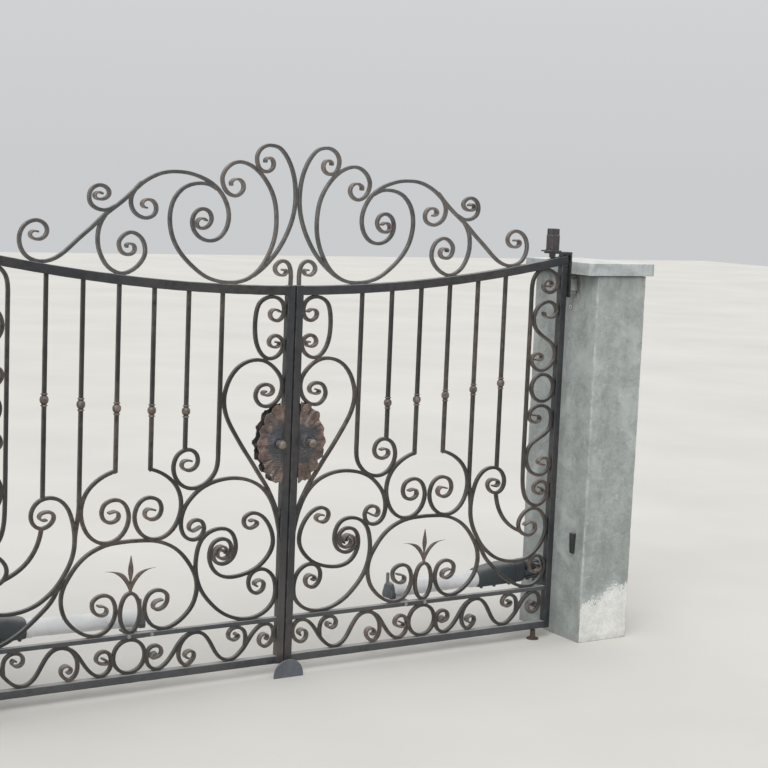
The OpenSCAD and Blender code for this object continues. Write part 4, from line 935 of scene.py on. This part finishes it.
def fleur(B, seed):
    """Spear and two curled leaves on the oval ring."""
    # spear: a flattened lozenge blade with a mid rib
    rows = [(300, 5.0, 5.0), (312, 5.2, 5.4), (322, 6.4, 6.0), (330, 7.2, 6.6), (338, 6.6, 6.2), (348, 4.6, 5.0), (360, 7.2, 5.0), (374, 10.6, 4.8),
            (388, 12.2, 4.4), (402, 10.6, 3.8), (416, 7.4, 3.0), (430, 4.0, 2.2), (442, 1.4, 1.0)]
    V, F = [], []
    for z, hw, hd in rows:
        hw *= 0.88
        for k in range(8):
            g = 2 * math.pi * k / 8
            V.append((625 + hw * math.cos(g) * (1 if k % 4 == 0 else 0.78), hd * math.sin(g) * (1 if k % 4 == 2 else 0.62), z))
    for i in range(len(rows) - 1):
        for k in range(8):
            k2 = (k + 1) % 8
            F.append((i * 8 + k, i * 8 + k2, i * 8 + 8 + k2, i * 8 + 8 + k))
    F.append(tuple(range(8)))
    F.append(tuple((len(rows) - 1) * 8 + k for k in range(8)))
    B.add(V, F, 0.55, 0.2)
    for m in (1, -1):
        P = [(625 + m * x, z) for x, z in ((2, 318), (8, 336), (18, 354), (32, 370), (50, 381), (72, 388), (98, 391))]
        Q = catmull(P, 6)
        S = arc_len(Q)
        T = np.gradient(Q, axis=0)
        T /= np.linalg.norm(T, axis=1, keepdims=True)
        N = np.stack([-T[:, 1], T[:, 0]], 1)
        V, F = [], []
        K = 8
        for i, (q, n_) in enumerate(zip(Q, N)):
            t = S[i] / S[-1]
            hw = (5.0 + 3.4 * math.sin(math.pi * min(1, t * 1.35))) * (1 - sstep(0.45, 1.0, t) * 0.88)
            hd = 5.4 * (1 - sstep(0.1, 1.0, t) * 0.82)
            for k in range(K):
                g = 2 * math.pi * k / K
                u = hw * math.cos(g) * (1 if k % 4 == 0 else 0.8)
                V.append((q[0] + n_[0] * u, hd * math.sin(g) * (1 if k % 4 == 2 else 0.7), q[1] + n_[1] * u))
        for i in range(len(Q) - 1):
            for k in range(K):
                k2 = (k + 1) % K
                F.append((i * K + k, i * K + k2, i * K + K + k2, i * K + K + k))
        F.append(tuple(range(K)))
        F.append(tuple((len(Q) - 1) * K + k for k in range(K)))
        B.add(V, F, 0.5, 0.15)
    weld(B, 625, 312, 0, 1, long=9, wide=6.5, deep=6.5, seed=seed)


ROS_Z = 819.0


def rim_of(a):
    return 158 + 5 * np.cos(np.radians(a * 18)) + 3 * np.cos(np.radians(a * 7 + 40))


def boss_of(x, z):
    """How high the pressed dome stands at x, z: 1 under the knob, 0 at its foot."""
    dx, dz = x - 64.0, z
    near = math.hypot(dx, dz)
    if near < 1e-6:
        return 1.0
    a = (dx / 112.0) ** 2 + (dz / 132.0) ** 2
    b = 2 * 64.0 * dx / 112.0 ** 2
    c = (64.0 / 112.0) ** 2 - 1.0
    t = (-b + math.sqrt(max(0.0, b * b - 4 * a * c))) / (2 * a)
    if dx < 0:
        t = min(t, (STILE_IN - 64.0) / dx)
    far = t * near
    u = min(1.0, max(0.0, (near - 24.0) / max(1.0, far - 24.0)))
    return (1.0 - u) * (1.0 - 0.25 * math.sin(math.pi * u))


def rosette(side, S, body, seed):
    B = Build()
    for which, sgn, y0 in (("front", -1.0, 17.0), ("back", 1.0, 15.2)):
        na, nr = 168, 34
        amax = math.degrees(math.acos((STILE_IN - 0.5) / 0.9 / 150.0))
        A = np.linspace(-amax, amax, na + 1)
        V = np.zeros((2, na + 1, nr + 1, 3))
        rub = np.zeros((2, na + 1, nr + 1))
        edge = np.zeros((2, na + 1, nr + 1))
        for i, a in enumerate(A):
            ar = math.radians(a)
            jag = noise.noise(Vector((a * 0.16, seed + sgn, 1.7))) * 5.0 + noise.noise(Vector((a * 0.55, seed - sgn, 5.7))) * 2.6
            rim = float(rim_of(a)) - 2.0 + jag
            r0 = (STILE_IN - 0.5) / 0.9 / math.cos(ar)
            rim = max(rim, r0 + 0.5)
            for j in range(nr + 1):
                t = j / nr
                r = r0 + (rim - r0) * (1 - (1 - t) ** 1.25)
                x, z = 0.9 * r * math.cos(ar), 1.02 * r * math.sin(ar)
                grow = float(sstep(62, 158, r))
                phase = 19 * ar + 1.4 * math.sin(3 * ar + seed) + 1.6 * noise.noise(Vector((a * 0.05, seed, 2.2)))
                ruffle = (0.62 * math.sin(phase) + 0.38 * math.sin(1.73 * phase + 0.9)) * 5.4 * grow ** 1.5
                flare = 3.0 * grow ** 2
                ham = 1.5 * noise.noise(Vector((x * 0.055, z * 0.055, seed + sgn * 3))) + 0.7 * noise.noise(Vector((x * 0.16, z * 0.16, seed)))
                crease = -1.4 * grow * abs(math.sin(phase * 1.5 + r * 0.02))
                boss = 19.5 * boss_of(x, z) if sgn < 0 else 0.0
                h = y0 + flare + ruffle + boss + (ham + crease) * (0.25 + 0.75 * float(sstep(34, 60, r)))
                h = max(h, 9.2)
                V[0, i, j] = (x, sgn * (h + 1.1), ROS_Z + z)
                V[1, i, j] = (x, sgn * (h - 1.1), ROS_Z + z)
                dk = math.hypot(x - 64, z)
                w = float(sstep(45, 118, 0.55 * dk + 0.45 * r)) * 0.75 + 0.25 * float(sstep(-2.5, 5.0, ruffle + ham))
                # the back disc keeps less copper, so it reads darker: painted shade on the disc behind the front one
                if sgn > 0:
                    w *= 0.45
                rub[:, i, j] = w
                edge[:, i, j] = float(sstep(0.95, 1.0, t))
        n_i, n_j = na + 1, nr + 1
        idx = lambda l, i, j: l * n_i * n_j + i * n_j + j
        F = []
        for i in range(na):
            for j in range(nr):
                F.append((idx(0, i, j), idx(0, i + 1, j), idx(0, i + 1, j + 1), idx(0, i, j + 1)))
                F.append((idx(1, i, j), idx(1, i, j + 1), idx(1, i + 1, j + 1), idx(1, i + 1, j)))
            F.append((idx(0, i, nr), idx(0, i + 1, nr), idx(1, i + 1, nr), idx(1, i, nr)))
            F.append((idx(0, i, 0), idx(1, i, 0), idx(1, i + 1, 0), idx(0, i + 1, 0)))
        for j in range(nr):
            F.append((idx(0, 0, j), idx(0, 0, j + 1), idx(1, 0, j + 1), idx(1, 0, j)))
            F.append((idx(0, na, j), idx(1, na, j), idx(1, na, j + 1), idx(0, na, j + 1)))
        B.add(V.reshape(-1, 3), F, rub.ravel(), edge.ravel())
    soft_box(B, (STILE_IN - 1, -16.0, ROS_Z - 98), (STILE_IN + 7, 16.0, ROS_Z + 98), r=1.5, rub=0.1)
    B.make(S + "_rosette_sheet", side, ROSETTE, body, "copper_patina", [S + "_rosette"], weighted=False)
    B = Build()
    prof = [(0, 6), (14.0, 6), (14.6, 8.0), (13.2, 10.0), (12.6, 12.5), (13.4, 15.0), (15.0, 18.0), (16.2, 21.5), (16.9, 25.0), (17.0, 29.0),
            (16.3, 33.2), (14.4, 37.2), (11.2, 40.4), (7.0, 42.6), (3.2, 43.6), (0, 43.9)]
    lathe(B, prof, (64, -32.5, ROS_Z), (0, -1, 0), seg=36, rub=1.0)
    B.make(S + "_rosette_knob", side, KNOB, body, "copper_patina")


make_leaf(1)
make_leaf(-1)


# ---------------------------------------------------------------- piers
def pier(side, S):
    seed = 5.0 * side
    w, d, h, r = PIER_W, PIER_D, PIER_H, 2.6
    step = 9.0
    ring = []
    for (x0, y0, x1, y1) in ((r, 0, w - r, 0), (w, r, w, d - r), (w - r, d, r, d), (0, d - r, 0, r)):
        L = math.hypot(x1 - x0, y1 - y0)
        k = max(2, int(L / step))
        for i in range(k + 1):
            t = i / k
            ring.append((x0 + (x1 - x0) * t, y0 + (y1 - y0) * t, 1.0 if i in (0, k) else 0.0))
        # middle of the rounded corner
        cx = (w - r if x1 > w / 2 else r)
        cy = (d - r if y1 > d / 2 else r)
        dx, dy = (1 if x1 > w / 2 else -1), (1 if y1 > d / 2 else -1)
        ring.append((cx + dx * r * 0.707, cy + dy * r * 0.707, 1.0))
    zs = np.concatenate([[0, 3], np.linspace(12, h - 12, int(h / 11)), [h - 2]])
    n = len(ring)
    V, E = [], []
    for iz, z in enumerate(zs):
        for (x, y, e) in ring:
            q = Vector((x * 0.006 + seed, y * 0.006, z * 0.0045))
            q2 = Vector((x * 0.03 + seed, y * 0.03, z * 0.022))
            dv = 1.5 * noise.noise(q) + 0.55 * noise.noise(q2) - 0.8
            chip = 0.0
            if e > 0.9:
                chip = -2.4 * max(0.0, noise.noise(Vector((seed, x * 0.01 + y * 0.01, z * 0.035))) - 0.12)
            cx, cy = w / 2, d / 2
            nx = (x - cx) / (w / 2)
            ny = (y - cy) / (d / 2)
            ax = nx if abs(nx) > 0.96 else 0.0
            ay = ny if abs(ny) > 0.97 else 0.0
            L = math.hypot(ax, ay) or 1.0
            V.append((JAMB_X + x + ax / L * (dv + chip), PIER_Y0 + y + ay / L * (dv + chip), z - OZ))
            E.append(e)
    F = []
    for i in range(len(zs) - 1):
        for k in range(n):
            k2 = (k + 1) % n
            F.append((i * n + k, i * n + k2, (i + 1) * n + k2, (i + 1) * n + k))
    F.append(tuple(range(n)))
    F.append(tuple((len(zs) - 1) * n + k for k in range(n)))
    B = Build()
    B.add(V, F, 0.0, np.array(E))
    B.make(S + "_pier_render", side, RENDER, "root", "concrete", [S + "_pier"], weighted=False)

    # cap, a slab whose top rises a little to its middle
    W, D = w + CAP_X + CAP_FAR, d + 2 * CAP_Y
    X0, Y0, Z0 = JAMB_X - CAP_X, PIER_Y0 - CAP_Y, PIER_H - OZ
    base = []
    step = 16.0
    for (x0, y0, x1, y1) in ((0, 0, W, 0), (W, 0, W, D), (W, D, 0, D), (0, D, 0, 0)):
        L = math.hypot(x1 - x0, y1 - y0)
        k = int(L / step)
        for i in range(k):
            t = i / k
            base.append((x0 + (x1 - x0) * t, y0 + (y1 - y0) * t))
    n = len(base)

    def inset(x, y, s):
        """Point of the outline moved in by share s towards the ridge."""
        ry = min(max(y, W / 2), D - W / 2)
        return x + (W / 2 - x) * s, y + (ry - y) * s

    levels = [(0.020, 0.0), (0.004, 0.5), (0.0, 2.5), (0.0, 14), (0.0, 25), (0.0, 36), (0.0, 47.6), (0.005, 49.6)]
    levels += [(s, 49.6 + 9.6 * s) for s in (0.02, 0.10, 0.2, 0.32, 0.44, 0.56, 0.68, 0.8, 0.9, 0.97)]
    V, E = [], []
    for li, (s, z) in enumerate(levels):
        for x, y in base:
            px, py = inset(x, y, s)
            dv = 1.0 * noise.noise(Vector((px * 0.02 + seed, py * 0.02, z * 0.03)))
            dz = dv * 0.5 if s > 0.02 else 0.0
            k = 0.5 * dv if s <= 0.02 else 0.0
            V.append((X0 + px + k * (1 if px > W / 2 else -1) - 0.3 * (1 if px > W / 2 else -1), Y0 + py + k * (1 if py > D / 2 else -1) - 0.3 * (1 if py > D / 2 else -1), Z0 + z + dz))
            E.append(0.8 if li in (1, 2, 6, 7) else 0.0)
    F = []
    for i in range(len(levels) - 1):
        for k in range(n):
            k2 = (k + 1) % n
            F.append((i * n + k, i * n + k2, (i + 1) * n + k2, (i + 1) * n + k))
    F.append(tuple(range(n)))
    F.append(tuple((len(levels) - 1) * n + k for k in range(n)))
    B = Build()
    B.add(V, F, 0.0, np.array(E))
    B.make(S + "_pier_cap_cast", side, CAP, "root", "cap_concrete", [S + "_pier_cap"], weighted=True)

    # photocell: a small case, narrower below
    B = Build()
    rows = [(300, 11, 9.0), (302, 12.5, 10.2), (318, 13.5, 11.2), (345, 14.4, 12.8), (376, 15, 14), (383.5, 14.6, 13.6), (386, 12.6, 11.8)]
    V, F = [], []
    K = 16
    for z, dx, hy in rows:
        for k in range(K):
            g = 2 * math.pi * (k + 0.5) / K
            cx = abs(math.cos(g)) ** 0.35 * (1 if math.cos(g) > 0 else -1)
            cy = abs(math.sin(g)) ** 0.35 * (1 if math.sin(g) > 0 else -1)
            V.append((JAMB_X - dx / 2 + cx * dx / 2, -68 + cy * hy, z))
    for i in range(len(rows) - 1):
        for k in range(K):
            k2 = (k + 1) % K
            F.append((i * K + k, i * K + k2, i * K + K + k2, i * K + K + k))
    F.append(tuple(range(K)))
    F.append(tuple((len(rows) - 1) * K + k for k in range(K)))
    B.add(V, F, 0.0, 0.0)
    lathe(B, [(0, 0), (6.5, 0), (6.5, 0.5), (5.6, 0.8), (0, 0.9)], (JAMB_X - 14.6, -68, 364), (-1, 0, 0), seg=24)
    plug = Build()
    lathe(plug, [(0, 0), (9, 0), (8.2, 0.7), (4.2, 0.9), (4.0, 0.3), (0, 0.2)], (JAMB_X, 34, 1311), (-1, 0, 0), seg=20, rub=0.0)
    plug.make(S + "_jamb_plug", side, FILLER, "root", "concrete")
    plug = Build()
    lathe(plug, [(0, 0), (3.6, 0), (3.6, 1.0), (2.2, 1.6), (0, 1.6)], (JAMB_X - 0.4, 34, 1311), (-1, 0, 0), seg=6)
    plug.make(S + "_jamb_screw", side, HOUSING, "root", "housing_paint")
    B.make(S + "_photocell_case", side, PLASTIC, "root", "dark_plastic", [S + "_photocell"])


ARM_Z = rail_z(PIVOT_X) + 20
PLATE_X = JAMB_X - 55


def pivots(side, S):
    seed = 3.0 * side
    B = Build()
    soft_box(B, (PLATE_X, -22, 1355), (PLATE_X + 6, 60, ARM_Z), r=1.0, cuts=2, jitter=0.4, seed=seed)
    soft_box(B, (PIVOT_X - 16, -22, ARM_Z), (PLATE_X + 6, 35, ARM_Z + 8), r=1.3, cuts=2, jitter=0.5, seed=seed + 3)
    zr = rail_z(PIVOT_X)
    lathe(B, [(0, 4), (12.2, 4), (13, 5.2), (13, ARM_Z - zr - 1.5), (14.4, ARM_Z - zr), (0, ARM_Z - zr)], (PIVOT_X, 0, zr), (0, 0, 1), seg=32, rub=0.15)
    lathe(B, [(0, 0), (7.6, 0), (8, 0.8), (8, 40), (0, 40)], (PIVOT_X, 0, zr - TOP_H + 6), (0, 0, 1), seg=28)
    for k, z in enumerate((1372, 1392, 1409, 1431, 1452)):
        weld(B, PLATE_X + 5.2, z, 0.1 * (k % 2), 1, long=9 + 2 * (k % 3), wide=2.6, deep=5.0, seed=seed + k)
    B.make(S + "_pivot_bracket_plates", side, IRON, "root", "black_iron", [S + "_pivot_bracket"])
    B = Build()
    soft_box(B, (PLATE_X + 6, 2, 1367), (JAMB_X + 2, 50, 1443), r=3.0, cuts=3, jitter=3.0, seed=seed)
    soft_box(B, (PLATE_X + 10, -6, 1378), (JAMB_X + 2, 10, 1432), r=5.0, cuts=3, jitter=5.0, seed=seed + 9)
    B.make(S + "_pivot_mortar", side, MORTAR, "root", "concrete")
    B = Build()
    x, y, z = PIVOT_X, 0.0, ARM_Z + 8
    soft_box(B, (x - 40, -24, z), (x + 27, 24, z + 6), r=1.2, cuts=2, jitter=0.4, seed=seed + 5)
    soft_box(B, (x - 19, -20, z + 5.5), (x + 19, 20, z + 66), r=2.2, cuts=2, jitter=0.4, seed=seed)
    soft_box(B, (x - 18, -19, z + 65.5), (x + 18, 19, z + 69), r=1.2, cuts=1, jitter=0.2, seed=seed, rub=0.0)
    soft_box(B, (x - 16, -17, z + 68), (x + 16, 17, z + 93), r=2.4, cuts=2, jitter=0.4, seed=seed + 2)
    for y1 in (-1, 1):
        for x1 in (-1, 1):
            soft_box(B, (x + 16 * x1 - 1.2, y + 17 * y1 - 1.2, z + 66), (x + 16 * x1 + 1.2, y + 17 * y1 + 1.2, z + 92), r=0.6, rub=0.0)
    for x1 in (-34, 22):
        hex_bolt(B, (x + x1, -2, z + 6), (0, 0, 1), size=6.0, head=3.0)
    B.make(S + "_pivot_housing_case", side, HOUSING, "root", "housing_paint", [S + "_pivot_housing"])
    B = Build()
    lathe(B, [(0, 0), (24.0, 0), (25, 0.9), (25, 3.8), (23.8, 5), (14, 5.4), (11.4, 7.5), (10.5, 12), (10.3, 20), (10.5, 30), (10.3, 39), (9.6, 40), (0, 40)],
          (PIVOT_X, 0, -OZ), (0, 0, 1), seg=44, edge=[0, 0, 1, 1, 0.6, 0, 0, 0, 0, 0, 0, 0, 0])
    lathe(B, [(0, 0), (8, 0), (8, 18), (7, 19), (0, 19)], (PIVOT_X, 0, LEAF_Z0 - 5), (0, 0, 1), seg=28)
    B.make(S + "_floor_pivot_rod", side, RUSTY, "root", "rusty_steel", [S + "_floor_pivot"])


# ---------------------------------------------------------------- drives
DZ, REAR_X, REAR_Y, FRONT_X, FRONT_Y = 181.0, 1257.0, 150.0, 583.0, 110.0
D_LEN = math.hypot(REAR_X - FRONT_X, REAR_Y - FRONT_Y)
D_ANG = math.degrees(math.atan2(REAR_Y - FRONT_Y, REAR_X - FRONT_X))


class Turned(Build):
    """Drawn along -X from the drive's rear pivot, then turned into place."""

    def add(self, V, F, rub=0.0, edge=0.0):
        V = np.asarray(V, float).copy()
        c, s = math.cos(math.radians(D_ANG)), math.sin(math.radians(D_ANG))
        x, y = V[:, 0].copy(), V[:, 1].copy()
        V[:, 0] = REAR_X + c * x - s * y
        V[:, 1] = REAR_Y + s * x + c * y
        V[:, 2] += DZ
        super().add(V, F, rub, edge)


def loft(B, rows, K=32, power=0.5, rub=0.0):
    """rows of (x, centre z, half width, half height, power)."""
    V, F = [], []
    for x, zc, hw, hh, p in rows:
        for k in range(K):
            g = 2 * math.pi * (k + 0.5) / K
            c, s = math.cos(g), math.sin(g)
            V.append((x, hw * abs(c) ** p * (1 if c > 0 else -1), zc + hh * abs(s) ** p * (1 if s > 0 else -1)))
    for i in range(len(rows) - 1):
        for k in range(K):
            k2 = (k + 1) % K
            F.append((i * K + k, i * K + k2, i * K + K + k2, i * K + K + k))
    F.append(tuple(range(K)))
    F.append(tuple((len(rows) - 1) * K + k for k in range(K)))
    B.add(V, F, rub, 0.0)


def drive(side, S):
    seed = 2.0 * side
    body = S + "_drive"
    B = Turned()
    p = 0.42
    loft(B, [(-38, 8, 26, 26, p), (-40, 9, 32, 34, p), (-48, 10, 37, 40, p), (-66, 11, 40.5, 43.5, p), (-110, 11, 42, 44.5, p), (-160, 11, 42, 44.5, p),
             (-205, 9, 42, 42.5, p), (-245, 6, 41, 39.5, p), (-278, 3.5, 39.5, 37.5, 0.50), (-288, 2.5, 37.0, 36.2, 0.62), (-290, 2.0, 35.2, 34.6, 0.68)], K=40)
    # hood that reaches back over the pier bracket
    loft(B, [(37.4, 44, 26, 6.5, 0.5), (34, 44.3, 32, 8.6, 0.45), (26, 44.5, 35.5, 9.6, 0.42), (8, 44.6, 37.4, 10.0, 0.42), (-20, 44.6, 38, 10.1, 0.42),
             (-46, 44.2, 37, 9.8, 0.45)], K=40)
    # seam lip and screws under the housing
    loft(B, [(-92, 10, 42.9, 45.6, p), (-93, 10, 43.4, 46.0, p), (-96, 10, 43.4, 46.0, p), (-97, 10, 42.9, 45.6, p)], K=40)
    for x in (-120, -200, -268):
        lathe(B, [(6.5, 0), (6.5, 4.5), (5.2, 5.6), (0, 5.8)], (x, -24, -32.5), (0, 0, -1), seg=18)
    B.make(S + "_drive_housing", side, SLATE, body, "drive_plastic", [S + "_drive_body"])
    B = Turned()
    lathe(B, [(0, 284), (34.4, 284), (35.4, 286), (35.4, 312), (34.2, 314), (32.2, 315.5), (32, 330), (32, 709), (31.6, 712), (0, 712)], (0, 0, 0), (-1, 0, 0), seg=56)
    B.make(S + "_drive_tube", side, TUBE, body, "drive_grey")
    B = Turned()
    # end cap: narrow shoulders, widest low down
    shape = [(26, -18), (26, 18), (-16, 33), (-27, 33), (-33, 27), (-33, -27), (-27, -33), (-16, -33)]
    cx, cz = 0.0, -4.0
    V, F, E = [], [], []
    rows = [(-709, 0.93), (-709.6, 0.985), (-712, 1.0), (-727, 1.0), (-730.6, 0.985), (-732, 0.93)]
    ringp = []
    for k in range(len(shape)):
        z0, y0 = shape[k - 1]
        z1, y1 = shape[k]
        z2, y2 = shape[(k + 1) % len(shape)]
        for q in range(7):
            t = q / 6.0
            c = 0.24
            pa = (z1 + (z0 - z1) * c, y1 + (y0 - y1) * c)
            pb = (z1 + (z2 - z1) * c, y1 + (y2 - y1) * c)
            zz = (1 - t) ** 2 * pa[0] + 2 * t * (1 - t) * z1 + t * t * pb[0]
            yy = (1 - t) ** 2 * pa[1] + 2 * t * (1 - t) * y1 + t * t * pb[1]
            ringp.append((zz, yy))
    for i, (x, sc) in enumerate(rows):
        for zz, yy in ringp:
            V.append((x, cx + (yy - cx) * sc, cz + (zz - cz) * sc))
            E.append(0.7 if i in (1, 4) else 0.0)
    K = len(ringp)
    for i in range(len(rows) - 1):
        for k in range(K):
            k2 = (k + 1) % K
            F.append((i * K + k, i * K + k2, i * K + K + k2, i * K + K + k))
    F.append(tuple(range(K)))
    F.append(tuple((len(rows) - 1) * K + k for k in range(K)))
    B.add(V, F, 0.0, np.array(E))
    for yy, zz in ((-20, -22), (20, -22), (0, 16)):
        lathe(B, [(0, 0), (3.4, 0), (3.4, 0.4), (2.6, 0.8), (0, 0.8)], (-731.4, yy, zz), (-1, 0, 0), seg=16)
    B.make(S + "_drive_end_cap", side, DRIVE_GREY, body, "drive_grey", weighted=False)
    B = Turned()
    lathe(B, [(0, 15), (7.0, 15), (7.0, 34), (6.9, 36.5), (6.8, 64), (6.2, 66.6), (4.6, 68), (0, 68)], (-723, 10, 0), (0, 0, 1), seg=24)
    B.make(S + "_drive_limit_rod", side, ROD, body, "drive_grey")
    B = Turned()
    lug = Build()
    loft(B, [(-62, 0, 24, 13.5, 0.3), (-40, 0, 24, 13.5, 0.3), (8, 0, 24, 13.5, 0.3), (18, 0, 20, 13.2, 0.35), (20, 0, 16, 12.6, 0.4)], K=28)
    B.make(S + "_drive_lug", side, DRIVE_GREY, body, "drive_grey")
    # carriage
    B = Turned()
    x = -D_LEN
    V0 = Build()
    soft_box(V0, (x - 25, -20, -ram() - 3), (x + 25, 20, -ram() + 14), r=1.2, cuts=1, jitter=0.1)
    for V, r_, e_ in zip(V0.V, V0.rub, V0.edge):
        B.add(V, V0.F, r_, e_)
    B.make(S + "_drive_carriage_block", side, TUBE, S + "_carriage", "drive_grey", [S + "_drive_carriage"])
    # pier bracket and its pin
    B = Build()
    soft_box(B, (JAMB_X - 8, REAR_Y - 38, DZ - 62), (JAMB_X, REAR_Y + 38, DZ + 26), r=1.5, cuts=1, jitter=0.3, seed=seed)
    for z in (-24, 16):
        soft_box(B, (REAR_X - 20, REAR_Y - 25, DZ + z), (JAMB_X - 6, REAR_Y + 25, DZ + z + 8), r=2.0, cuts=1, jitter=0.3, seed=seed + z)
    lathe(B, [(0, -34), (9.5, -34), (9.5, -27.5), (6, -27), (6, 23.6), (8.6, 24.2), (8.6, 27.2), (7.4, 28), (0, 28)], (REAR_X, REAR_Y, DZ), (0, 0, 1), seg=28)
    for y in (-29, 29):
        for z in (-50, 5):
            hex_bolt(B, (JAMB_X - 8, REAR_Y + y, DZ + z), (-1, 0, 0), size=10, head=4.0)
    B.make(S + "_drive_bracket_steel", side, BRACKET, "root", "bracket_paint", [S + "_drive_bracket"])
    # bracket on the leaf
    B = Build()
    soft_box(B, (FRONT_X - 60, MID_D / 2, MID_Z - 6), (FRONT_X + 60, MID_D / 2 + 6, MID_Z + 17), r=1.4, cuts=1, jitter=0.3, seed=seed)
    soft_box(B, (FRONT_X - 25, MID_D / 2 + 1, MID_Z - 8), (FRONT_X + 25, FRONT_Y + 22, MID_Z), r=1.8, cuts=1, jitter=0.3, seed=seed + 5)
    B.make(S + "_leaf_bracket_steel", side, BRACKET, S + "_leaf", "bracket_paint", [S + "_leaf_bracket"])
    B = Build()
    for x in (-41, 48):
        hex_bolt(B, (FRONT_X + x, -MID_D / 2, MID_Z + MID_H / 2), (0, -1, 0), size=9.5, head=3.6)
        hex_bolt(B, (FRONT_X + x, MID_D / 2 + 6, MID_Z + MID_H / 2), (0, 1, 0), size=9.5, head=6)
    lathe(B, [(0, 0), (9, 0), (9, 2.0), (0, 2.0)], (FRONT_X, FRONT_Y, MID_Z - 10), (0, 0, 1), seg=6)
    B.make(S + "_leaf_bracket_bolts", side, ZINC, S + "_leaf", "bracket_paint")


def ram():
    return 32.0


for sd, nm in ((1, "right"), (-1, "left")):
    pier(sd, nm)
    pivots(sd, nm)
    drive(sd, nm)

# ground stop: round-topped plate in front of the meeting stiles
B = Build()
outline = [(-62.0, z) for z in (0.0, 2.0, 5.0)] + [(62 * math.cos(math.pi * (1 - k / 52)), 8 + 60.1 * math.sin(math.pi * k / 52)) for k in range(53)] + [(62.0, z) for z in (5.0, 2.0, 0.0)]
rows = [(-57.0, 0.968), (-56.3, 0.990), (-55.0, 1.0), (-51.0, 1.0), (-49.7, 0.990), (-49.0, 0.968)]
V, F = [], []
K = len(outline)
for y, sc in rows:
    for x, z in outline:
        dent = 0.5 * noise.noise(Vector((x * 0.05, z * 0.05, 4.0)))
        V.append((x * sc, y + (dent if y < -53 else -dent * 0.4), -OZ + z * sc))
nrow = len(rows)
for i in range(nrow - 1):
    for k in range(K - 1):
        F.append((i * K + k, i * K + k + 1, i * K + K + k + 1, i * K + K + k))
    F.append((i * K + K - 1, i * K, i * K + K, i * K + K + K - 1))
F.append(tuple(range(K)))
F.append(tuple((nrow - 1) * K + k for k in range(K)))
B.add(V, F, 0.0, [1.0 if i // K in (1, 2, nrow - 2) else 0.1 for i in range(len(V))])
soft_box(B, (-45, -49.5, -OZ), (45, -23, -OZ + 6), r=1.4, cuts=2, jitter=0.3)
for x in (-30, 30):
    hex_bolt(B, (x, -36, -OZ + 6), (0, 0, 1), size=8.5, head=4.5)
B.make("ground_stop_plate", 1, STOP, "root", "stop_paint", ["ground_stop"])

# ---------------------------------------------------------------- floor and light
bpy.ops.mesh.primitive_plane_add(size=60, location=(-1.4, 0, 0))
floor = bpy.context.object
floor.name = "studio_floor"
fm, nt, bs = new_mat("studio_floor")
g = Net(nt)
g.link(g.ramp(g.noise(0.7, 3.0), [(0.3, (0.60, 0.585, 0.55)), (0.7, (0.66, 0.645, 0.61))]), bs.inputs["Base Color"])
bs.inputs["Roughness"].default_value = 0.85
floor.data.materials.append(fm)

world = bpy.data.worlds.new("studio")
scene.world = world
world.use_nodes = True
wt = world.node_tree
bg = wt.nodes["Background"]
wc = wt.nodes.new("ShaderNodeTexCoord")
ws = wt.nodes.new("ShaderNodeSeparateXYZ")
wr = wt.nodes.new("ShaderNodeValToRGB")
wt.links.new(wc.outputs["Generated"], ws.inputs[0])
wt.links.new(ws.outputs["Z"], wr.inputs["Fac"])
el = wr.color_ramp.elements
el[0].position, el[0].color = 0.0, (0.62, 0.635, 0.65, 1)
el[1].position, el[1].color = 0.75, (1.0, 1.0, 1.0, 1)
mid = el.new(0.18)
mid.color = (0.70, 0.715, 0.73, 1)
wt.links.new(wr.outputs["Color"], bg.inputs["Color"])
bg.inputs["Strength"].default_value = 0.95


def sun(name, rot_x, rot_z, power, angle, colour):
    data = bpy.data.lights.new(name, "SUN")
    data.energy = power
    data.angle = math.radians(angle)
    data.color = colour
    ob = bpy.data.objects.new(name, data)
    ob.rotation_euler = (math.radians(rot_x), 0, math.radians(rot_z))
    scene.collection.objects.link(ob)


sun("key_light", 42, -43, 1.1, 35, (1.0, 0.985, 0.96))
sun("fill_light", 66, -84, 0.42, 55, (0.97, 0.985, 1.0))
scene.view_settings.view_transform = "Standard"
